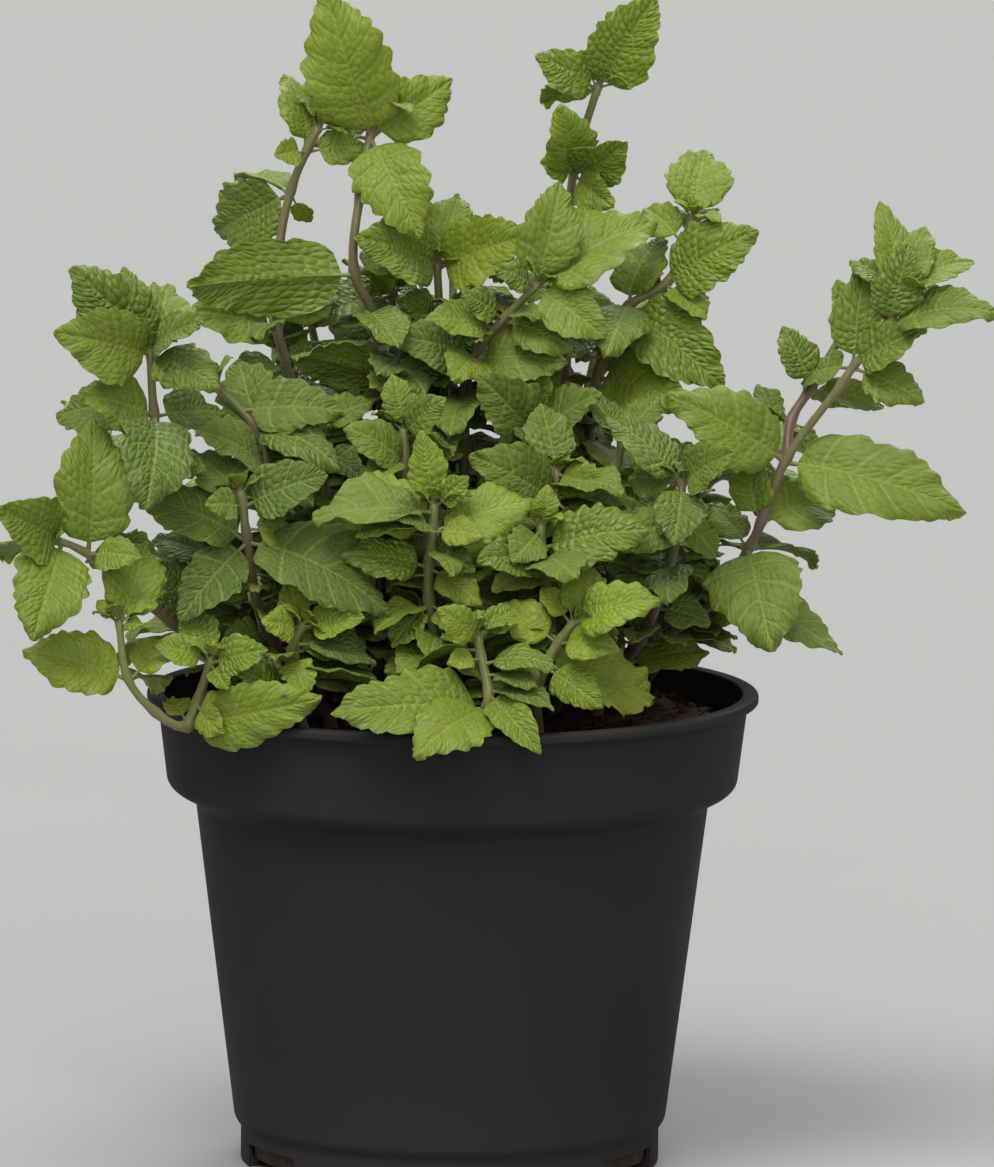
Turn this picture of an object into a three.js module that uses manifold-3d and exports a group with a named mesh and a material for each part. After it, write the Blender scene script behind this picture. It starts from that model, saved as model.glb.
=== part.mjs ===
// A mint plant in a black plastic nursery pot, in millimetres, +Z up.
// The origin is the middle of the pot's underside, and the front of the pot faces -Y.
// The pot, the soil and each leafy shoot are separate solids. Every shoot stands in a plain hole in the soil.
// The plant follows a front view of 994 by 1167 points, so a knot or a leaf tip is written as
// [x, y] in that view, with its depth in millimetres: negative is nearer the viewer than the pot's axis.

import * as THREE from "three";
import { mergeVertices } from "three/addons/utils/BufferGeometryUtils.js";
import Module from "manifold-3d";

const wasm = await Module();
wasm.setup();

// Pot
const RIM_RADIUS = 65;
const POT_HEIGHT = 101;
const WALL = 1.2;
const FLOOR = 1.6;
const SIDES = 32;
const LIP_DEPTH = 2.6;
const LIP = { slope: 0.6, bevel: 0.8 };
const COLLAR_RADIUS = 62.7;
const COLLAR_FOOT_RADIUS = 60.6;
const COLLAR_FOOT_HEIGHT = 81.6;
const COLLAR_FOOT_INSIDE = 82.4;
const LEDGE = { inset: 1.4, drop: 1.6 };
const BODY_TOP_RADIUS = 54.6;
const BODY_TOP_HEIGHT = 77.8;
const BODY_FOOT_RADIUS = 46;
const BODY_FOOT_HEIGHT = 9.5;
const FOOT_RADIUS = 44.6;
const FOOT_HEIGHT = 7.4;
const DRAINS = 6;
const DRAIN = { width: 20, height: 5.2, inner: 35 };

// Soil
const GAP = 0.35;
const SOIL_LEVEL = 95.2;
const SOIL_DIP = 1.5;
const SOIL_RINGS = [20, 40, 55];
const ABOVE_STEP = { body: 0.2, collar: 0.5 };
const ROOTED = 11;
const COLLAR_OF_STEM = 2.5;

// Front view
const VIEW = { width: 994, height: 1167 };
const VIEW_SCALE = (2 * RIM_RADIUS) / 612.4;
const VIEW_DISTANCE = 2525;
const VIEW_TILT = THREE.MathUtils.degToRad(8.05);
const VIEW_ROLL = THREE.MathUtils.degToRad(0.45);
const VIEW_MIDDLE = new THREE.Vector3(9.2, 0, 123.9);

// Leaves and stems
const BLADE = 0.7;
const PETIOLE = 2.6;
const PETIOLE_HALF = 0.7;
const PETIOLE_SHARE = 0.3;
const BARE = { root: 0.06, start: 0.12, width: 0.5 };
const KNOT_STEP = 0.9;
const STEM_FOOT = 1.5;
const BRANCH_FOOT = 1.1;
const STEM_TOP = 0.85;
const BREADTH = 0.66;
const BEND = { least: 0.45, range: 0.6 };
const FOLD = { least: 0.16, range: 0.26 };
const LARGE_LEAF = 24;
const MEDIUM_LEAF = 13;
const SMALLEST_COSINE = 0.62;
const STEEPEST = 0.9;
const TOOTH = { tip: 0.72, notch: 1.05, room: 0.45, notchWidth: 0.84 };

// A shoot is its root on the soil and its knots from the lowest to the highest.
// The numbers of a leaf are the place (x, y) where its tip is seen, how far the tip lies behind its knot in
// depth (negative if it comes nearer), how far the blade is rolled about its own length in degrees, and how
// wide it looks as a share of the length that is seen.
const SHOOTS = [
  {
    name: "front_low",
    root: [7, -45],
    knots: [
      { at: [487, 708, -58], leaves: [[330, 714, -11, 12, 0.54], [414, 757, -15, 30, 0.7]] },
      { at: [489, 690, -58], leaves: [[541, 754, -13, 10, 0.5]] },
      { at: [481, 656, -56], leaves: [[447, 664, -2, 35, 0.65]] },
      { at: [478, 636, -56], leaves: [[438, 608, -3, 15, 0.75], [515, 608, 1, 25, 0.65]] },
    ],
  },
  {
    name: "front_right",
    root: [18, -38],
    knots: [
      { at: [536, 700, -44], leaves: [] },
      {
        at: [546, 664, -48],
        leaves: [[501, 672, -5, 25, 0.75], [603, 708, -6, 15, 0.62], [652, 697, 4, 45, 0.7]],
      },
      { at: [560, 640, -48], leaves: [[498, 603, 3, 20, 0.62], [620, 650, -6, 25, 0.6]] },
      {
        at: [574, 622, -49],
        leaves: [[596, 570, 2, 5, 0.85], [661, 600, -2, 20, 0.66], [541, 588, 4, 25, 0.6]],
      },
    ],
  },
  {
    name: "front_left",
    root: [-31, -38],
    knots: [
      { at: [290, 700, -44], leaves: [[236, 672, -2, 40, 0.6]] },
      { at: [292, 650, -46], leaves: [[306, 697, -6, 8, 0.85], [366, 645, 3, 40, 0.62]] },
      {
        at: [303, 625, -47],
        leaves: [[262, 622, -3, 20, 0.9], [365, 617, -3, 25, 0.6], [286, 580, 2, 10, 0.65]],
      },
    ],
  },
  {
    name: "rim_left",
    root: [-46, -27],
    knots: [
      { at: [209, 697, -34], leaves: [] },
      { at: [187, 727, -46], leaves: [[322, 698, -7, 15, 0.46], [168, 700, 3, 30, 0.8]] },
      { at: [155, 712, -49], leaves: [] },
      { at: [127, 677, -51], leaves: [[22, 650, -4, 25, 0.6], [180, 643, 4, 40, 0.6]] },
      {
        at: [119, 622, -51],
        leaves: [[97, 600, 1, 30, 0.6], [143, 625, -3, 30, 0.75], [146, 541, 1, 8, 0.75]],
      },
    ],
    branches: [
      {
        knots: [
          { at: [187, 727, -46], leaves: [] },
          { at: [198, 700, -46], leaves: [[224, 734, -5, 12, 0.85]] },
          {
            at: [211, 660, -48],
            leaves: [
              [190, 609, 3, 8, 0.75],
              [268, 650, -3, 20, 0.7],
              [156, 645, 4, 30, 0.65],
              [228, 690, -6, 10, 0.8],
            ],
          },
        ],
      },
    ],
  },
  {
    name: "front_mid",
    root: [-6, -28],
    knots: [
      { at: [436, 660, -36], leaves: [[384, 672, -5, 40, 0.6]] },
      { at: [429, 600, -40], leaves: [[392, 648, -5, 30, 0.62], [474, 645, -3, 30, 0.62]] },
      { at: [429, 563, -42], leaves: [[340, 556, -3, 28, 0.52], [482, 606, -5, 25, 0.55]] },
      {
        at: [433, 528, -43],
        leaves: [[338, 494, 2, 8, 0.74], [535, 500, 3, 28, 0.58], [484, 537, -5, 30, 0.62]],
      },
      { at: [434, 505, -43], leaves: [[421, 430, 0, 5, 0.52], [469, 476, -2, 12, 0.65]] },
    ],
  },
  {
    name: "left_centre",
    root: [-26, -22],
    knots: [
      { at: [266, 630, -33], leaves: [[222, 640, -5, 20, 0.75]] },
      {
        at: [247, 538, -40],
        leaves: [[389, 615, -5, 18, 0.6], [180, 622, -4, 20, 0.55], [138, 500, 3, 30, 0.5]],
      },
      { at: [243, 503, -42], leaves: [[328, 475, -3, 22, 0.62], [205, 505, -5, 20, 0.9]] },
      { at: [240, 492, -42], leaves: [[190, 452, 1, 35, 0.7]] },
    ],
  },
  {
    name: "mid_right",
    root: [17, -20],
    knots: [
      { at: [551, 640, -32], leaves: [] },
      { at: [545, 575, -37], leaves: [[492, 592, -4, 25, 0.72], [606, 600, 2, 40, 0.62]] },
      { at: [541, 545, -39], leaves: [[651, 530, -3, 20, 0.6], [456, 550, 2, 35, 0.66]] },
      { at: [541, 525, -39], leaves: [[548, 484, 0, 8, 0.6]] },
    ],
  },
  {
    name: "right_low",
    root: [31, 4],
    knots: [
      { at: [640, 640, -14], leaves: [] },
      { at: [668, 575, -24], leaves: [[604, 628, -5, 30, 0.62]] },
      { at: [680, 515, -30], leaves: [[622, 545, -3, 15, 0.8], [716, 558, 2, 30, 0.6]] },
      {
        at: [682, 480, -32],
        leaves: [
          [674, 546, -6, 5, 0.85],
          [735, 452, -2, 25, 0.75],
          [606, 418, 3, 45, 0.45],
          [628, 478, 3, 25, 0.8],
        ],
      },
    ],
  },
  {
    name: "left_mid",
    root: [-40, -12],
    knots: [
      { at: [190, 640, -34], leaves: [[146, 557, 6, 35, 0.65]] },
      { at: [130, 590, -42], leaves: [] },
      { at: [85, 552, -48], leaves: [[142, 558, -4, 25, 0.7], [92, 418, 5, 12, 0.6]] },
      { at: [58, 541, -50], leaves: [[-4, 508, -2, 10, 0.9], [32, 641, -5, 5, 0.82]] },
    ],
  },
  {
    name: "left_upper",
    root: [-31, -6],
    knots: [
      { at: [215, 560, -24], leaves: [[152, 540, 4, 40, 0.6]] },
      { at: [165, 470, -34], leaves: [[206, 470, -3, 35, 0.7]] },
      {
        at: [154, 412, -38],
        leaves: [
          [80, 396, -4, 22, 0.75],
          [145, 510, -10, 0, 0.92],
          [226, 414, 4, 35, 0.7],
          [56, 418, 8, 35, 0.6],
        ],
      },
      {
        at: [150, 350, -38],
        leaves: [
          [72, 266, -2, 12, 0.68], [54, 332, -6, 20, 0.7], [203, 322, -5, 35, 0.75], [220, 389, -7, 28, 0.7],
          [168, 284, 2, 5, 0.9], [124, 267, 9, 20, 0.5],
        ],
      },
    ],
  },
  {
    name: "right_branch",
    root: [33, 20],
    knots: [
      { at: [640, 650, 2], leaves: [] },
      { at: [692, 619, -8], leaves: [] },
      { at: [722, 592, -13], leaves: [[843, 655, -5, 50, 0.3], [690, 572, -4, 40, 0.5]] },
      { at: [750, 546, -17], leaves: [[772, 652, -9, 0, 0.95], [711, 508, 4, 40, 0.6]] },
      { at: [762, 520, -19], leaves: [[841, 493, 4, 20, 0.75], [747, 451, 4, 20, 0.6]] },
      { at: [787, 458, -20], leaves: [[666, 394, -6, 22, 0.56], [967, 513, -6, 25, 0.45]] },
      { at: [841, 385, -22], leaves: [] },
      {
        at: [855, 364, -22],
        leaves: [[925, 402, -4, 20, 0.6], [866, 262, 4, 5, 0.5], [919, 331, -3, 25, 0.6]],
      },
      { at: [890, 325, -24], leaves: [[1002, 314, -4, 30, 0.48], [908, 243, 3, 0, 0.62]] },
      {
        at: [898, 290, -24],
        leaves: [
          [880, 200, 4, 20, 0.4],
          [926, 226, 6, 20, 0.7],
          [975, 262, 4, 40, 0.42],
          [849, 261, 4, 40, 0.5],
        ],
      },
    ],
    branches: [
      {
        knots: [
          { at: [787, 458, -20], leaves: [] },
          { at: [791, 420, -15], leaves: [] },
          { at: [812, 386, -13], leaves: [[782, 326, 2, 15, 0.6], [884, 408, 5, 30, 0.42]] },
          { at: [852, 318, -12], leaves: [[837, 279, 2, 20, 0.6]] },
        ],
      },
    ],
  },
  {
    name: "centre_low",
    root: [13, -6],
    knots: [
      { at: [546, 600, -17], leaves: [[470, 590, -4, 35, 0.6]] },
      { at: [556, 498, -24], leaves: [[469, 455, -3, 15, 0.78], [614, 562, -4, 30, 0.62]] },
      { at: [556, 470, -24], leaves: [[606, 490, -4, 15, 0.85], [540, 403, 4, 15, 0.72]] },
    ],
  },
  {
    name: "left_back_low",
    root: [-22, -8],
    knots: [
      { at: [292, 580, -20], leaves: [[330, 528, -4, 25, 0.62]] },
      { at: [268, 470, -26], leaves: [[196, 432, -4, 22, 0.75], [314, 506, -3, 35, 0.62]] },
      { at: [258, 430, -25], leaves: [[238, 359, 3, 18, 0.8], [302, 392, 3, 25, 0.72]] },
      { at: [217, 386, -24], leaves: [] },
    ],
  },
  {
    name: "centre_left_low",
    root: [-13, -10],
    knots: [
      { at: [398, 560, -20], leaves: [] },
      {
        at: [405, 462, -23],
        leaves: [[343, 428, -2, 35, 0.62], [354, 502, -4, 30, 0.65], [458, 438, 2, 35, 0.65]],
      },
      { at: [404, 430, -23], leaves: [[392, 374, 2, 15, 0.65], [446, 398, -2, 20, 0.75]] },
    ],
  },
  {
    name: "centre_right_low",
    root: [22, 8],
    knots: [
      { at: [606, 600, -6], leaves: [[660, 640, -5, 35, 0.65]] },
      { at: [613, 500, -14], leaves: [[566, 480, -2, 35, 0.65], [660, 560, -3, 28, 0.62]] },
      {
        at: [622, 440, -16],
        leaves: [[660, 398, 2, 25, 0.65], [588, 396, 2, 25, 0.65], [662, 480, 2, 35, 0.65]],
      },
    ],
  },
  {
    name: "curly_left",
    root: [-20, 2],
    knots: [
      { at: [332, 560, -8], leaves: [] },
      {
        at: [318, 450, -12],
        leaves: [[266, 462, -4, 30, 0.72], [364, 482, -4, 35, 0.62], [300, 510, -6, 25, 0.65]],
      },
      { at: [316, 425, -12], leaves: [[288, 388, 0, 15, 0.85], [374, 402, 2, 35, 0.55]] },
    ],
  },
  {
    name: "centre_mid",
    root: [11, 6],
    knots: [
      { at: [532, 520, -4], leaves: [] },
      {
        at: [538, 440, -6],
        leaves: [
          [476, 374, -3, 15, 0.75],
          [602, 393, -2, 12, 0.85],
          [592, 447, 3, 35, 0.65],
          [496, 472, -2, 35, 0.65],
        ],
      },
      { at: [540, 415, -6], leaves: [[541, 366, -2, 5, 0.7]] },
    ],
  },
  {
    name: "right_back_low",
    root: [40, 20],
    knots: [
      { at: [668, 650, 8], leaves: [] },
      { at: [702, 585, -2], leaves: [[600, 562, -9, 28, 0.6], [664, 630, -5, 30, 0.6]] },
      { at: [712, 545, -5], leaves: [[676, 498, 2, 25, 0.62], [738, 505, 2, 30, 0.62]] },
    ],
  },
  {
    name: "centre_tall",
    root: [3, 8],
    knots: [
      { at: [464, 445, 0], leaves: [] },
      { at: [466, 380, -2], leaves: [[420, 338, 2, 30, 0.72], [502, 424, -2, 35, 0.62]] },
      { at: [481, 345, -4], leaves: [[552, 372, 2, 30, 0.55]] },
      { at: [506, 317, -6], leaves: [[574, 350, -2, 28, 0.62], [462, 292, -4, 30, 0.65]] },
      {
        at: [538, 284, -8],
        leaves: [
          [560, 181, 4, 8, 0.62],
          [606, 338, -6, 10, 0.68],
          [658, 221, 1, 20, 0.64],
          [494, 268, -3, 25, 0.72],
        ],
      },
    ],
  },
  {
    name: "small_mid",
    root: [-12, 6],
    knots: [
      { at: [400, 480, -2], leaves: [] },
      { at: [393, 378, -4], leaves: [[291, 357, -4, 135, 0.5], [448, 364, 2, 35, 0.65]] },
      { at: [403, 347, -4], leaves: [[398, 308, 0, 15, 0.6], [440, 316, 2, 25, 0.62]] },
    ],
  },
  {
    name: "tall_left",
    root: [-27, 10],
    knots: [
      { at: [292, 400, -2], leaves: [] },
      { at: [277, 326, -4], leaves: [[187, 312, -6, 35, 0.62], [336, 281, 6, 35, 0.72]] },
      { at: [279, 250, -3], leaves: [] },
      { at: [291, 190, -2], leaves: [[216, 232, 5, 5, 0.95], [311, 222, 8, -20, 0.6]] },
      {
        at: [308, 148, -2],
        leaves: [[284, 74, 3, 20, 0.66], [274, 156, -4, 15, 0.95], [366, 146, 4, 10, 0.7]],
      },
      { at: [318, 128, -2], leaves: [] },
    ],
  },
  {
    name: "centre_left",
    root: [-4, 20],
    knots: [
      { at: [445, 430, 10], leaves: [] },
      { at: [440, 320, 8], leaves: [[396, 298, -4, 35, 0.66], [518, 300, 4, 35, 0.55]] },
      {
        at: [437, 264, 6],
        leaves: [
          [354, 238, -4, 22, 0.8],
          [532, 234, -3, 15, 0.75],
          [459, 194, 2, 0, 0.75],
          [421, 200, 7, 10, 0.75],
        ],
      },
    ],
  },
  {
    name: "right_tall",
    root: [24, 18],
    knots: [
      { at: [588, 450, 8], leaves: [] },
      { at: [598, 375, 6], leaves: [[664, 322, 5, 30, 0.62], [642, 394, -4, 35, 0.55]] },
      { at: [612, 332, 4], leaves: [[590, 285, 6, 35, 0.5]] },
      { at: [629, 305, 3], leaves: [[664, 236, 1, 20, 0.72], [724, 388, -8, 10, 0.62]] },
      { at: [668, 282, 2], leaves: [[759, 230, -4, 18, 0.66], [706, 320, -8, 20, 0.75]] },
      { at: [685, 240, 2], leaves: [[645, 208, 5, 15, 0.8]] },
      { at: [692, 217, 1], leaves: [[704, 150, 2, 0, 0.95]] },
    ],
  },
  {
    name: "mid_tall",
    root: [-15, 18],
    knots: [
      { at: [381, 362, 2], leaves: [] },
      { at: [354, 271, -6], leaves: [[187, 288, -14, 152, 0.43], [414, 248, 10, 35, 0.62]] },
      { at: [360, 195, -4], leaves: [] },
      {
        at: [371, 134, 2],
        leaves: [
          [420, 239, -9, 5, 0.72],
          [302, 150, 3, 10, 0.78],
          [324, -12, -5, 0, 0.64],
          [453, 78, 3, 12, 0.66],
        ],
      },
      { at: [384, 105, 1], leaves: [] },
    ],
  },
  {
    name: "mid_left_back",
    root: [-12, 29],
    knots: [
      { at: [386, 400, 18], leaves: [] },
      { at: [393, 292, 15], leaves: [[303, 328, -12, 28, 0.62], [432, 243, 6, 30, 0.62]] },
    ],
  },
  {
    name: "tall_right",
    root: [14, 34],
    knots: [
      { at: [562, 420, 22], leaves: [] },
      { at: [566, 270, 17], leaves: [[612, 245, 6, 30, 0.62], [523, 300, 6, 35, 0.62]] },
      {
        at: [574, 170, 14],
        leaves: [
          [560, 104, -2, 12, 0.8],
          [541, 160, -3, 25, 0.85],
          [627, 141, -3, 10, 0.9],
          [614, 207, -8, 10, 0.9],
        ],
      },
      {
        at: [598, 86, 12],
        leaves: [[535, 55, -3, 12, 0.7], [655, -5, -3, 0, 0.68], [611, 21, 2, -20, 0.45]],
      },
    ],
  },
  {
    name: "right_mid_back",
    root: [36, 31],
    knots: [
      { at: [655, 590, 18], leaves: [] },
      { at: [700, 492, 12], leaves: [[646, 436, 4, 30, 0.62], [660, 542, -6, 35, 0.62]] },
      { at: [752, 463, 10], leaves: [[733, 410, 2, 30, 0.62], [772, 502, 6, 35, 0.62]] },
      { at: [778, 430, 10], leaves: [[822, 455, 6, 35, 0.6], [758, 384, 6, 30, 0.62]] },
    ],
  },
];

// The far side is out of the front view, so its shoots are grown by a rule from these few numbers.
const BACK_SHOOTS = 7;
// `lean` and `height` are of a whole shoot. Leaves are `lowLeaf` long at its foot and `highLeaf` at its end,
// their tips rise by at most `rise` and sink by at most `fall` less that, and each is rolled up to half of `roll`.
const BACK = {
  fromDegrees: 16,
  toDegrees: 166,
  rootRadius: 44,
  lean: 36,
  height: 82,
  curve: 1.6,
  pairs: 4,
  lowLeaf: 30.5,
  highLeaf: 16,
  rise: 0.15,
  fall: 0.45,
  roll: 20,
  broader: 0.15,
};
// Every second shoot at the back stands further in, leans less and is taller, by these shares.
const INNER = { radius: 0.62, lean: 0.5 };
const OUTER = { height: 0.62 };
const SEED = 20;

// Mint leaves stand in pairs, each pair a quarter turn from the last, so large knots also carry a leaf that
// points away from the viewer, about as long as the others at its knot. Bare feet of stems carry low leaves.
const FAR = { least: 15, longest: 25, spread: 1.7 };
const LOW = { every: 26, start: 0.6, length: 19, turnOn: 2.3 };
const DROOP = { rise: 0.12, fall: 0.5 };
const ROLL = 30;

// Small seeded generator: returns numbers from 0 to 1, the same ones on every run.
function randomFrom(seed) {
  let state = seed;
  return () => (state = (state * 1664525 + 1013904223) % 4294967296) / 4294967296;
}

const vec = (x, y, z) => new THREE.Vector3(x, y, z);
const mix = (a, b, t) => a.clone().lerp(b, t);

// The viewer looks along `ahead` from far in front, a little above the rim.
const ahead = vec(0, Math.cos(VIEW_TILT), -Math.sin(VIEW_TILT));
const towardsViewer = ahead.clone().negate();
const levelUp = vec(0, Math.sin(VIEW_TILT), Math.cos(VIEW_TILT));
const viewRight = vec(1, 0, 0)
  .multiplyScalar(Math.cos(VIEW_ROLL))
  .addScaledVector(levelUp, Math.sin(VIEW_ROLL));
const viewUp = levelUp
  .clone()
  .multiplyScalar(Math.cos(VIEW_ROLL))
  .addScaledVector(vec(1, 0, 0), -Math.sin(VIEW_ROLL));
const eye = VIEW_MIDDLE.clone().addScaledVector(ahead, -VIEW_DISTANCE);

// The point at this depth that the front view shows at (px, py).
function seen(px, py, depth) {
  const perPoint = VIEW_SCALE / VIEW_DISTANCE;
  const ray = ahead
    .clone()
    .addScaledVector(viewRight, (px - VIEW.width / 2) * perPoint)
    .addScaledVector(viewUp, (VIEW.height / 2 - py) * perPoint);
  return eye.clone().addScaledVector(ray, (depth - eye.y) / ray.y);
}

// Turns a closed geometry into a manifold-3d solid.
function solid(geometry) {
  const bare = geometry.index ? geometry.toNonIndexed() : geometry.clone();
  bare.deleteAttribute("normal");
  bare.deleteAttribute("uv");
  const merged = mergeVertices(bare, 1e-4);
  return new wasm.Manifold(
    new wasm.Mesh({
      numProp: 3,
      vertProperties: merged.attributes.position.array,
      triVerts: new Uint32Array(merged.index.array),
    }),
  );
}

// Turns a solid back into a named mesh.
function meshOf(name, made, material) {
  const { vertProperties, triVerts } = made.getMesh();
  const geometry = new THREE.BufferGeometry();
  geometry.setAttribute("position", new THREE.BufferAttribute(Float32Array.from(vertProperties), 3));
  geometry.setIndex(new THREE.BufferAttribute(Uint32Array.from(triVerts), 1));
  geometry.computeVertexNormals();
  const mesh = new THREE.Mesh(geometry, material);
  mesh.name = name;
  return mesh;
}

// A closed geometry from points and triples of point numbers.
function facets(points, faces) {
  const geometry = new THREE.BufferGeometry();
  geometry.setAttribute("position", new THREE.Float32BufferAttribute(points.flatMap((p) => p.toArray()), 3));
  geometry.setIndex(faces.flat());
  return geometry;
}

// A round solid about the Z axis, from [radius, height] points that run upwards on the outside.
function turned(profile) {
  const lathe = new THREE.LatheGeometry(profile.map(([r, z]) => new THREE.Vector2(r, z)), SIDES);
  return lathe.rotateX(Math.PI / 2);
}

function potSolid() {
  const bodyInner = BODY_TOP_RADIUS - WALL;
  const profile = [
    [0, 0],
    [FOOT_RADIUS, 0],
    [FOOT_RADIUS, FOOT_HEIGHT],
    [BODY_FOOT_RADIUS, BODY_FOOT_HEIGHT],
    [BODY_TOP_RADIUS, BODY_TOP_HEIGHT],
    [COLLAR_FOOT_RADIUS - LEDGE.inset, COLLAR_FOOT_HEIGHT - LEDGE.drop],
    [COLLAR_FOOT_RADIUS, COLLAR_FOOT_HEIGHT],
    [COLLAR_RADIUS, POT_HEIGHT - LIP_DEPTH],
    [RIM_RADIUS, POT_HEIGHT - LIP_DEPTH + LIP.slope],
    [RIM_RADIUS, POT_HEIGHT - LIP.bevel],
    [RIM_RADIUS - LIP.bevel, POT_HEIGHT],
    [COLLAR_RADIUS - WALL, POT_HEIGHT],
    [COLLAR_FOOT_RADIUS - WALL, COLLAR_FOOT_INSIDE],
    [bodyInner, BODY_TOP_HEIGHT + WALL],
    [FOOT_RADIUS - WALL, FLOOR],
    [0, FLOOR],
  ];
  let pot = solid(turned(profile));
  for (let i = 0; i < DRAINS; i++) {
    const length = FOOT_RADIUS + 4 - DRAIN.inner;
    const drain = new THREE.BoxGeometry(DRAIN.width, length, DRAIN.height + 1);
    drain.translate(0, -(DRAIN.inner + length / 2), (DRAIN.height - 1) / 2);
    drain.rotateZ((i * 2 * Math.PI) / DRAINS);
    pot = pot.subtract(solid(drain));
  }
  return pot;
}

// Height of the soil at a place: low swells, and a dip towards the pot's wall.
function soilHeight(x, y) {
  const out = Math.hypot(x, y) / COLLAR_RADIUS;
  const swell = 0.9 * Math.sin(x / 7 + 1) * Math.cos(y / 8) + 0.6 * Math.sin((x + y) / 4);
  return SOIL_LEVEL + swell - SOIL_DIP * out ** 6;
}

// The inner radius of the pot's collar at a height.
function collarInside(z) {
  const { mapLinear } = THREE.MathUtils;
  return mapLinear(z, COLLAR_FOOT_INSIDE, POT_HEIGHT, COLLAR_FOOT_RADIUS, COLLAR_RADIUS) - WALL;
}

function soilSolid(holes) {
  const edge = collarInside(SOIL_LEVEL - 1) - GAP;
  const profile = [
    [0, FLOOR + GAP],
    [FOOT_RADIUS - WALL - GAP, FLOOR + GAP],
    [BODY_TOP_RADIUS - WALL - GAP, BODY_TOP_HEIGHT + WALL + ABOVE_STEP.body],
    [COLLAR_FOOT_RADIUS - WALL - GAP, COLLAR_FOOT_INSIDE + ABOVE_STEP.collar],
    [edge, SOIL_LEVEL],
    ...SOIL_RINGS.toReversed().map((r) => [r, SOIL_LEVEL]),
    [0, SOIL_LEVEL],
  ];
  const geometry = turned(profile);
  const place = geometry.attributes.position;
  for (let i = 0; i < place.count; i++) {
    if (place.getZ(i) > SOIL_LEVEL - 2) place.setZ(i, soilHeight(place.getX(i), place.getY(i)));
  }
  return holes.reduce((soil, hole) => soil.subtract(hole), solid(geometry));
}

// A square tapering stem through the points. Mint stems have four flat sides.
function stemSolid(points, footRadius, topRadius) {
  const corners = [];
  let side = vec(1, 0, 0);
  points.forEach((point, i) => {
    const before = points[Math.max(i - 1, 0)];
    const after = points[Math.min(i + 1, points.length - 1)];
    const along = after.clone().sub(before).normalize();
    side = side.clone().addScaledVector(along, -side.dot(along)).normalize();
    const across = along.clone().cross(side);
    const radius = footRadius + ((topRadius - footRadius) * i) / (points.length - 1);
    for (const [a, b] of [[1, 0], [0, 1], [-1, 0], [0, -1]]) {
      corners.push(point.clone().addScaledVector(side, a * radius).addScaledVector(across, b * radius));
    }
  });
  const faces = [[0, 2, 1], [0, 3, 2]];
  for (let i = 0; i + 1 < points.length; i++) {
    for (let k = 0; k < 4; k++) {
      const [a, b] = [4 * i + k, 4 * i + ((k + 1) % 4)];
      faces.push([a, b, b + 4], [a, b + 4, a + 4]);
    }
  }
  const last = 4 * (points.length - 1);
  faces.push([last, last + 1, last + 2], [last, last + 2, last + 3]);
  return solid(facets(corners, faces));
}

// The width of a mint blade along its length, as a share of the widest: round below and pointed above.
const outline = (u) => Math.sin(Math.PI * u ** 0.7) ** 0.65;

// The frame of a leaf: where it lies, the way its upper face looks, and its size.
function leafFrame({ base, tip, turn, breadth, face, bend, fold }) {
  const chord = tip.clone().sub(base);
  const length = chord.length();
  const dir = chord.normalize();
  const facing = face.clone().addScaledVector(dir, -face.dot(dir)).normalize();
  const sideways = dir.clone().cross(facing);
  if (sideways.dot(vec(0.3, 0, 1)) < 0) sideways.negate();
  const angle = THREE.MathUtils.degToRad(turn);
  const normal = facing.multiplyScalar(Math.cos(angle)).addScaledVector(sideways, Math.sin(angle));
  const side = normal.clone().cross(dir);
  const half = (length * breadth) / 2;
  return { base, dir, normal, side, length, half, bend, fold };
}

// A point of the leaf: s runs from the stem to the tip, and `across` is the distance from the midrib.
// The midrib is an arc of `bend` radians over its chord, and both halves of the blade rise from it by `fold`.
function leafPoint(frame, s, across, lift) {
  const { bend, fold } = frame;
  const bow = bend * (s - 0.5);
  const radius = frame.length / (2 * Math.sin(bend / 2));
  const up = frame.normal.clone().multiplyScalar(Math.cos(bow)).addScaledVector(frame.dir, Math.sin(bow));
  return frame.base
    .clone()
    .addScaledVector(frame.dir, frame.length / 2 + radius * Math.sin(bow))
    .addScaledVector(frame.normal, radius * (Math.cos(bow) - Math.cos(bend / 2)))
    .addScaledVector(frame.side, across)
    .addScaledVector(up, Math.abs(across) * fold + lift);
}

// Teeth on each side of a blade, and places along its midrib where the fold has a corner.
const teethOf = (length) => (length > LARGE_LEAF ? 3 : length > MEDIUM_LEAF ? 2 : 1);
const ribOf = (teeth) => (teeth > 2 ? [0.36, 0.72] : teeth > 1 ? [0.5] : [0.45]);

// Joins two rows of point numbers, each ordered by place s along the leaf, by a strip of triangles.
function strip(left, right, place) {
  const faces = [];
  let [i, j] = [0, 0];
  while (i + 1 < left.length || j + 1 < right.length) {
    const leftIsNext = i + 1 < left.length && place[left[i + 1]] <= place[right[j + 1]];
    const onLeft = j + 1 === right.length || leftIsNext;
    faces.push(onLeft ? [left[i], right[j], left[i + 1]] : [left[i], right[j], right[j + 1]]);
    if (onLeft) i += 1;
    else j += 1;
  }
  return faces;
}

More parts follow.
